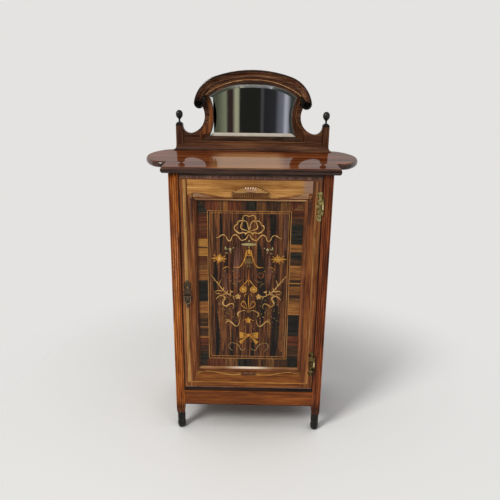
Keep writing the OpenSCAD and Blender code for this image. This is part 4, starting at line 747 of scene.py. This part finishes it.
specks = [
    (44, 524, 40), (50, 532, 120), (33, 536, 80), (62, 500, 20), (70, 494, 150), (58, 488, 300),
    (76, 502, 70), (86, 496, 200), (48, 478, 100), (66, 478, 30), (26, 462, 330), (44, 466, 200),
    (92, 512, 60), (100, 524, 120), (52, 640, 50), (84, 640, 120), (60, 606, 10), (88, 622, 90),
    (12, 425, 80), (24, 420, 140)]
specks += [(40 + k * 37 % 68, 452 + k * 29 % 96, k * 71) for k in range(24)]
inlaid("sprinkled_leaves", faded_wood, [leaf(x, z, a, 6.5, 2.2) for x, z, a in specks] + [
    stroke([(56, 596), (49, 597), (43, 590), (41, 581)], 0.9, 1.8, 1.6, 0.8),
    stroke([(28, 606), (37, 602), (46, 605)], 0.8, 1.8, 0.8)])

# Panel moulding and carvings: a mitred moulding round the panel with a bead inside, painted pale as
# a highlight at head and foot, a fan over a gadrooned plinth, leaves with a ball at each upper corner,
# drops, and a scroll below.
mould_tones = "381a0c 5e3218 784626 905a36"
mould_wood, mould_ends = (
    timber("moulding_wood" + end, mould_tones, grain, wide=10, gloss=0.3, coat=0.15, seed=seed, hollow_shade=0.65)
    for end, grain, seed in (("", "Z", 1.6), ("_ends", "X", 5.6)))
highlight_wood, foot_highlight_wood, rosy_leaf = (
    timber(name + "_moulding_wood", tones, "X", wide=12, gloss=0.24, coat=0.3, seed=seed)
    for name, tones, seed in (("highlit", "9c6c3c c89a64 e4c090", 3.0),
                              ("foot_highlight", "80542e a0724a bc9066", 3.8),
                              ("rosy_leaf", "74482e 946444 ae805a", 3.6)))
# The painted highlights: the head's is duller to the left, the foot's palest in the middle.
tone_patch(highlight_wood, "8c5e3e", [("X", -500, -400, -150, -60)], 0.8)
tone_patch(foot_highlight_wood, "f4e2c8", [("X", -100, -15, 15, 100)], 0.75)
finish(mould_wood, "door_moulding")
# The fan's ground is dark as painted shade in the gaps between its petals.
for name, node, tones, seed, hollow_shade in (
        ("fan", "door_fan", "4a2a12 7c4e24 9c6c38", 2.1, 0.85),
        ("leaf", "door_corner_carvings", "64391a 8c5a30 a8784a", 3.4, 0.85),
        ("scroll", "door_scroll_carving", "623414 885422 a8743a", 4.9, 0.8)):
    wood = timber("carved_" + name + "_wood", tones, "X", wide=8, coat=0.15, seed=seed, hollow_shade=hollow_shade)
    finish(wood, node)
drop_wood = timber("carved_drop_wood", "2a1a16 4a302a 6c4c40", "Z", wide=8, coat=0.15, seed=9.4, hollow_shade=0.8)
moulding = nodes["door_moulding"].data
for wood in (mould_ends, highlight_wood, foot_highlight_wood):
    moulding.materials.append(wood)
# Painted highlight: the bead's faces just inside the sight edge, at head and foot, take the pale woods.
for face in moulding.polygons:
    x, z = abs(face.center.x) / MM, face.center.z / MM
    level = min(z - sight_foot, sight_head - z) < x - sight_x or z < sight_foot or z > sight_head
    head_highlight, foot_highlight = sight_head + 3 < z < sight_head + 9, sight_foot - 4.2 < z < sight_foot + 1
    bright = level and face.center.y < panel_y and abs(face.normal.z) > 0.2
    highlit = 2 if head_highlight else 3 if foot_highlight else 0
    face.material_index = highlit if bright and highlit else 1 if level else 0
carving = nodes["door_corner_carvings"].data
carving.materials.append(drop_wood)
for face in carving.polygons:
    face.material_index = 1 if face.center.z < mould_high.z - 3 * MM else 0
ball_x, ball_r, leaf_z, leaf_reach = 195.6, 4.2, 907.3, 105
carved_y = door_y - 3 * MM
# Painted light on the corner leaves: pale strips along the ribs are painted highlights, dark strips between
# them painted shade.
gap_shades, rib_lights = [], []
for side in (-1, 1):
    for k in range(4):
        far = leaf_reach * (1 - 0.13 * k)
        for parts, lift, first, width, rise in ((rib_lights, 0.3, 0.03, 2.2, 0.5), (gap_shades, 2.1, 0.06, 1.7, 0.3)):
            if parts is gap_shades and k == 3:
                continue
            line = []
            for step in range(9):
                t = first + (0.62 - 0.07 * k - first) * step / 8
                line.append((side * (ball_x - ball_r - (far - ball_r) * t),
                             leaf_z + 4.1 * k + lift - (0.2 + 2 * k) * t * t, width * (1 - 0.6 * t)))
            parts.append(laid_strip(line, carved_y, rise, rounded=True, sunk=2.6))
rib_light_wood = timber("leaf_rib_light_wood", "8c5c36 b48860 d2a884", "X", wide=6, coat=0.15, seed=6.2)
made("leaf_rib_lights", rib_lights, rib_light_wood, "door")
gap_shade_wood = timber("leaf_gap_shade_wood", "1e0f07 341a0a 482812", "X", wide=6, seed=7.4)
made("leaf_gap_shades", gap_shades, gap_shade_wood, "door")

fan_low, fan_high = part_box("door_fan")
fan_half, fan_rise = fan_high.x / MM, 22
fan_foot = fan_high.z / MM - fan_rise
arc_r = (fan_half ** 2 + fan_rise ** 2) / (2 * fan_rise)
petals = {"pale": [], "golden": []}
for k in range(-6, 7):
    tip_x = 9.2 * k
    tip_z = fan_foot + sqrt(arc_r ** 2 - tip_x ** 2) - (arc_r - fan_rise) - 1.4
    start_x, start_z = 0.3 * tip_x, fan_foot + 1.2 + 0.12 * (tip_z - fan_foot)
    line = [(start_x + (tip_x - start_x) * t, start_z + (tip_z - start_z) * t, w)
            for t, w in ((0, 1.4), (0.4, 3.2), (0.8, 5.6), (0.95, 4.6), (1, 2.2))]
    petal = laid_strip(smooth_line(line, 4), fan_low.y, 1.2, rounded=True, sunk=1)
    # The middle petals take the paler wood as a painted highlight.
    petals["pale" if abs(k) < 3 else "golden"].append(petal)
for key, tones, coat, seed in (("pale", "b87e58 dcaa84 f2ceac", 0.3, 3.9),
                               ("golden", "8c5c30 ac7c46 c49860", 0.2, 4.9)):
    wood = timber(key + "_petal_wood", tones, "X", wide=10, gloss=0.24, coat=coat, seed=seed)
    made("fan_petals_" + key, petals[key], wood, "door")
# Painted highlights along the plinth's top edge and its right end.
line_z, line_end, side_x = fan_foot - 2.4, fan_half - 0.5, fan_half - 1.6
made("fan_plinth_lines", [laid_strip(line, carved_y, 0.4, sunk=2) for line in (
    [(-line_end, line_z, 1.8), (line_end, line_z, 1.8)],
    [(side_x, fan_foot - 13, 1.6), (side_x, fan_foot - 3, 1.6)])], highlight_wood, "door")

# Scroll under the panel: the raised ground is carved out of the rail, with a painted shadow line
# below its edge and below the cartouche, a painted highlight line along the edge and a small cartouche in the
# middle.
half, block, steps, scroll_top = 186, 28, 32, 253
edge = []
for i in range(steps + 1):
    t = i / steps
    dip = 8.5 * (1 - t / 0.22) ** 2 if t < 0.22 else 15.5 * sin(radians(90 * (t - 0.22) / 0.6)) ** 2
    edge.append((half - (half - block) * t, scroll_top - (2.5 + dip)))
# Painted shadow lines below the ground's edge and the cartouche, and painted highlight lines along the edge.
shade_lines, lit_lines = [], []
for side in (-1, 1):
    shade_lines.append(laid_strip([(side * x, z - 1.2, 2.8) for x, z in edge], door_y, 0.3))
    line = [(side * x, z + 2.6 + 1.6 * i / steps, 1.2 + 3.0 * i / steps) for i, (x, z) in enumerate(edge)]
    lit_lines.append(laid_strip(line[6:], carved_y, 0.25, sunk=0.4))
shade_lines.append(oblong(-block, block, scroll_top - 18, scroll_top - 15, door_y, 0.3))
shade_line_wood = timber("scroll_shade_line_wood", "2c1408 401e0c 562c14", "X", wide=6, seed=8.4)
made("scroll_shade_lines", shade_lines, shade_line_wood, "door")
lit_line_wood = timber("scroll_lit_line_wood", "8c5826 ac7838 c49450", "X", wide=8, seed=6.7)
made("scroll_lit_lines", lit_lines, lit_line_wood, "door")
cartouche_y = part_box("door_scroll_carving")[0].y
cartouche_wood = timber("cartouche_wood", "3a1c12 54301f 6c4630", "X", wide=7, seed=3.1)
cartouche = oblong(-block + 2, block - 2, scroll_top - 13, scroll_top - 2, cartouche_y, 0.15)
made("scroll_cartouche", [cartouche], cartouche_wood, "door")
leaves = [smooth_line([(side * x, scroll_top - drop, w)
                       for x, drop, w in ((2, 5, 1.6), (11, 4.4, 2.8), (21, 7, 1))], 4) for side in (-1, 1)]
made("scroll_cartouche_leaves", [laid_strip(line, cartouche_y, 0.8, rounded=True) for line in leaves],
     rosy_leaf, "door")

# Hinges and lock: pierced brass plates on the door's face, knuckles on the axis beside it,
# leaves let into the post, and a cut lock behind the stile with its bolt and strike plate.
old_brass = metal("hinge_brass", "bcac70", "34280f", 0.28, grime=1.0, scale=140)
steel = metal("bright_steel", "c4c2be", "7c766f", 0.3, grime=0.4)
dark_brass = metal("dark_hinge_brass", "7c6a44", "221a0c", 0.34, grime=1.3)
finish(old_brass, "hinge_plate_upper", "hinge_pins", "hinge_screws")
finish(dark_brass, "hinge_plate_lower")
finish(brass, "hinge_leaf_upper", "hinge_leaf_lower", "strike_plate", "lock_case")
finish(steel, "lock_bolt")

# Escutcheon and handle: a dark bronzed plate with pierced scrolls, a rim round the keyhole,
# and a bail that hangs from a rod between two small posts.
bronze = metal("dark_bronze", "625646", "221c16", 0.36, grime=0.8)
bail_brass = metal("bail_brass", "857863", "372f26", 0.25, grime=0.7)
finish(bronze, "escutcheon")
finish(bail_brass, "drop_handle")

# Studio: a round pale floor with a painted shadow under and close round the cabinet, that fades into
# a plain background, a broad soft lamp at the upper left in front and a faint one at the right, and an
# even light all round, with bands of cloth that only polished faces reflect.
camera_data = bpy.data.cameras.new("camera")
camera_data.sensor_width, camera_data.lens = 36, 39.09
camera = placed("camera", camera_data)
tilt, turn, roll = 0.3335, -0.0119, 0.0123
ahead = Vector((sin(turn) * cos(tilt), cos(turn) * cos(tilt), -sin(tilt)))
across = Vector((cos(turn), -sin(turn), 0))
upward = across.cross(ahead)
axes = Matrix((across * cos(roll) + upward * sin(roll), upward * cos(roll) - across * sin(roll), -ahead))
eye = (0.0206, -1.9055, 1.3267)
camera.matrix_world = Matrix.Translation(eye) @ axes.transposed().to_4x4()
bpy.context.scene.camera = camera

floor_r, floor_sides, fade_start, fade_end = 2.8, 96, 0.5, 1.3
sheet = bpy.data.meshes.new("studio_floor")
turns = [2 * pi * k / floor_sides for k in range(floor_sides)]
sheet.from_pydata([(floor_r * cos(a), floor_r * sin(a), 0.0) for a in turns], [], [tuple(range(floor_sides))])
placed("studio_floor", sheet)
paper, layers, surface = bare_finish("studio_paper")
spot = add(layers, "TexCoord").outputs["Object"]
paler = ranged(layers, add(layers, "SeparateXYZ", [(0, spot)]).outputs["X"], -1.6, 1.6)
shade = mixed(layers, paler, (0.718, 0.718, 0.708, 1), (0.972, 0.972, 0.956, 1))
# Painted shadow: the paper darkens where the cabinet hems it in.
nook = add(layers, "AmbientOcclusion", [("Distance", 0.4)], samples=8).outputs["AO"]
shadowed = add(layers, "MixRGB", blend_type="MULTIPLY", links=[
    ("Fac", 1.0), ("Color1", shade), ("Color2", ranged(layers, nook, 0.15, 0.7, 0.4, 1.0))]).outputs[0]
feed(layers, surface, [("Base Color", shadowed), ("Roughness", 0.9), ("Specular IOR Level", 0.1)])
away = add(layers, "VectorMath", [(0, spot)], operation="LENGTH").outputs["Value"]
fade = ranged(layers, away, fade_start, fade_end, kind="SMOOTHSTEP")
clear = add(layers, "BsdfTransparent").outputs[0]
blend = add(layers, "MixShader", [(0, fade), (1, surface.outputs[0]), (2, clear)])
feed(layers, layers.nodes["Material Output"], [("Surface", blend.outputs[0])])
sheet.materials.append(paper)


def lamp(name, place, target, size, power):
    """A round, slightly warm lamp that faces its target."""
    data = bpy.data.lights.new(name, "AREA")
    data.shape, data.size, data.energy = "DISK", size, power
    data.color = (1.0, 0.98, 0.95)
    facing = (Vector(target) - Vector(place)).to_track_quat("-Z", "Y").to_matrix().to_4x4()
    placed(name, data).matrix_world = Matrix.Translation(place) @ facing


middle = (0, 0, 0.6)
lamp("key_lamp", (-3.2, -3.4, 4.2), middle, 1.9, 248)
lamp("fill_lamp", (2.6, -3.2, 1.9), middle, 1.6, 12)

world = bpy.data.worlds.new("studio_light")
world.use_nodes = True
bpy.context.scene.world = world
sky = world.node_tree
rays = add(sky, "LightPath").outputs
way = add(sky, "SeparateXYZ", [(0, add(sky, "TexCoord").outputs["Generated"])]).outputs
front = worked_out(sky, "MAXIMUM", worked_out(sky, "MULTIPLY", way["Y"], -1.0), 0.05)
aside = worked_out(sky, "DIVIDE", way["X"], front)
above = worked_out(sky, "DIVIDE", way["Z"], front)
reach = 0.35
cloths = [
    (-0.25, (1, 1, 1)), (-0.2, (0.06, 0.065, 0.055)), (-0.073, (0.1, 0.1, 0.066)),
    (-0.058, (0.28, 0.3, 0.19)), (-0.055, (0.05, 0.03, 0.03)), (-0.045, (0.04, 0.025, 0.02)),
    (-0.042, (0.46, 0.45, 0.3)), (-0.036, (0.46, 0.45, 0.3)), (-0.033, (0.02, 0.02, 0.017)),
    (0.004, (0.02, 0.02, 0.017)), (0.007, (0.12, 0.12, 0.12)), (0.01, (0.024, 0.022, 0.026)),
    (0.031, (0.035, 0.034, 0.037)), (0.036, (0.14, 0.14, 0.17)), (0.044, (0.2, 0.2, 0.24)),
    (0.05, (0.62, 0.62, 0.72)), (0.058, (0.05, 0.055, 0.05)), (0.27, (0.05, 0.055, 0.05)), (0.32, (1, 1, 1))]
cloth = toned(sky, ranged(sky, aside, -reach, reach),
              [((at + reach) / (2 * reach), (*colour, 1)) for at, colour in cloths])
window = rays["Is Glossy Ray"]
for limit in (ranged(sky, above, -0.2, -0.16), ranged(sky, above, 0.118, 0.165, 1.0, 0.0),
              ranged(sky, worked_out(sky, "ABSOLUTE", aside), 0.3, 0.34, 1.0, 0.0),
              ranged(sky, way["Y"], -0.5, -0.3, 1.0, 0.0)):
    window = worked_out(sky, "MULTIPLY", window, limit)
seen = worked_out(sky, "ADD", rays["Is Camera Ray"], rays["Is Glossy Ray"])
seen = worked_out(sky, "MAXIMUM", seen, rays["Is Transmission Ray"])
pale = mixed(sky, seen, (0.98, 0.985, 1.0, 1), (0.995, 0.985, 0.966, 1))
feed(sky, sky.nodes["Background"], [("Color", mixed(sky, window, pale, cloth)),
                                    ("Strength", ranged(sky, seen, 0.0, 1.0, 0.485, 0.78))])
bpy.context.scene.view_settings.view_transform = "Standard"
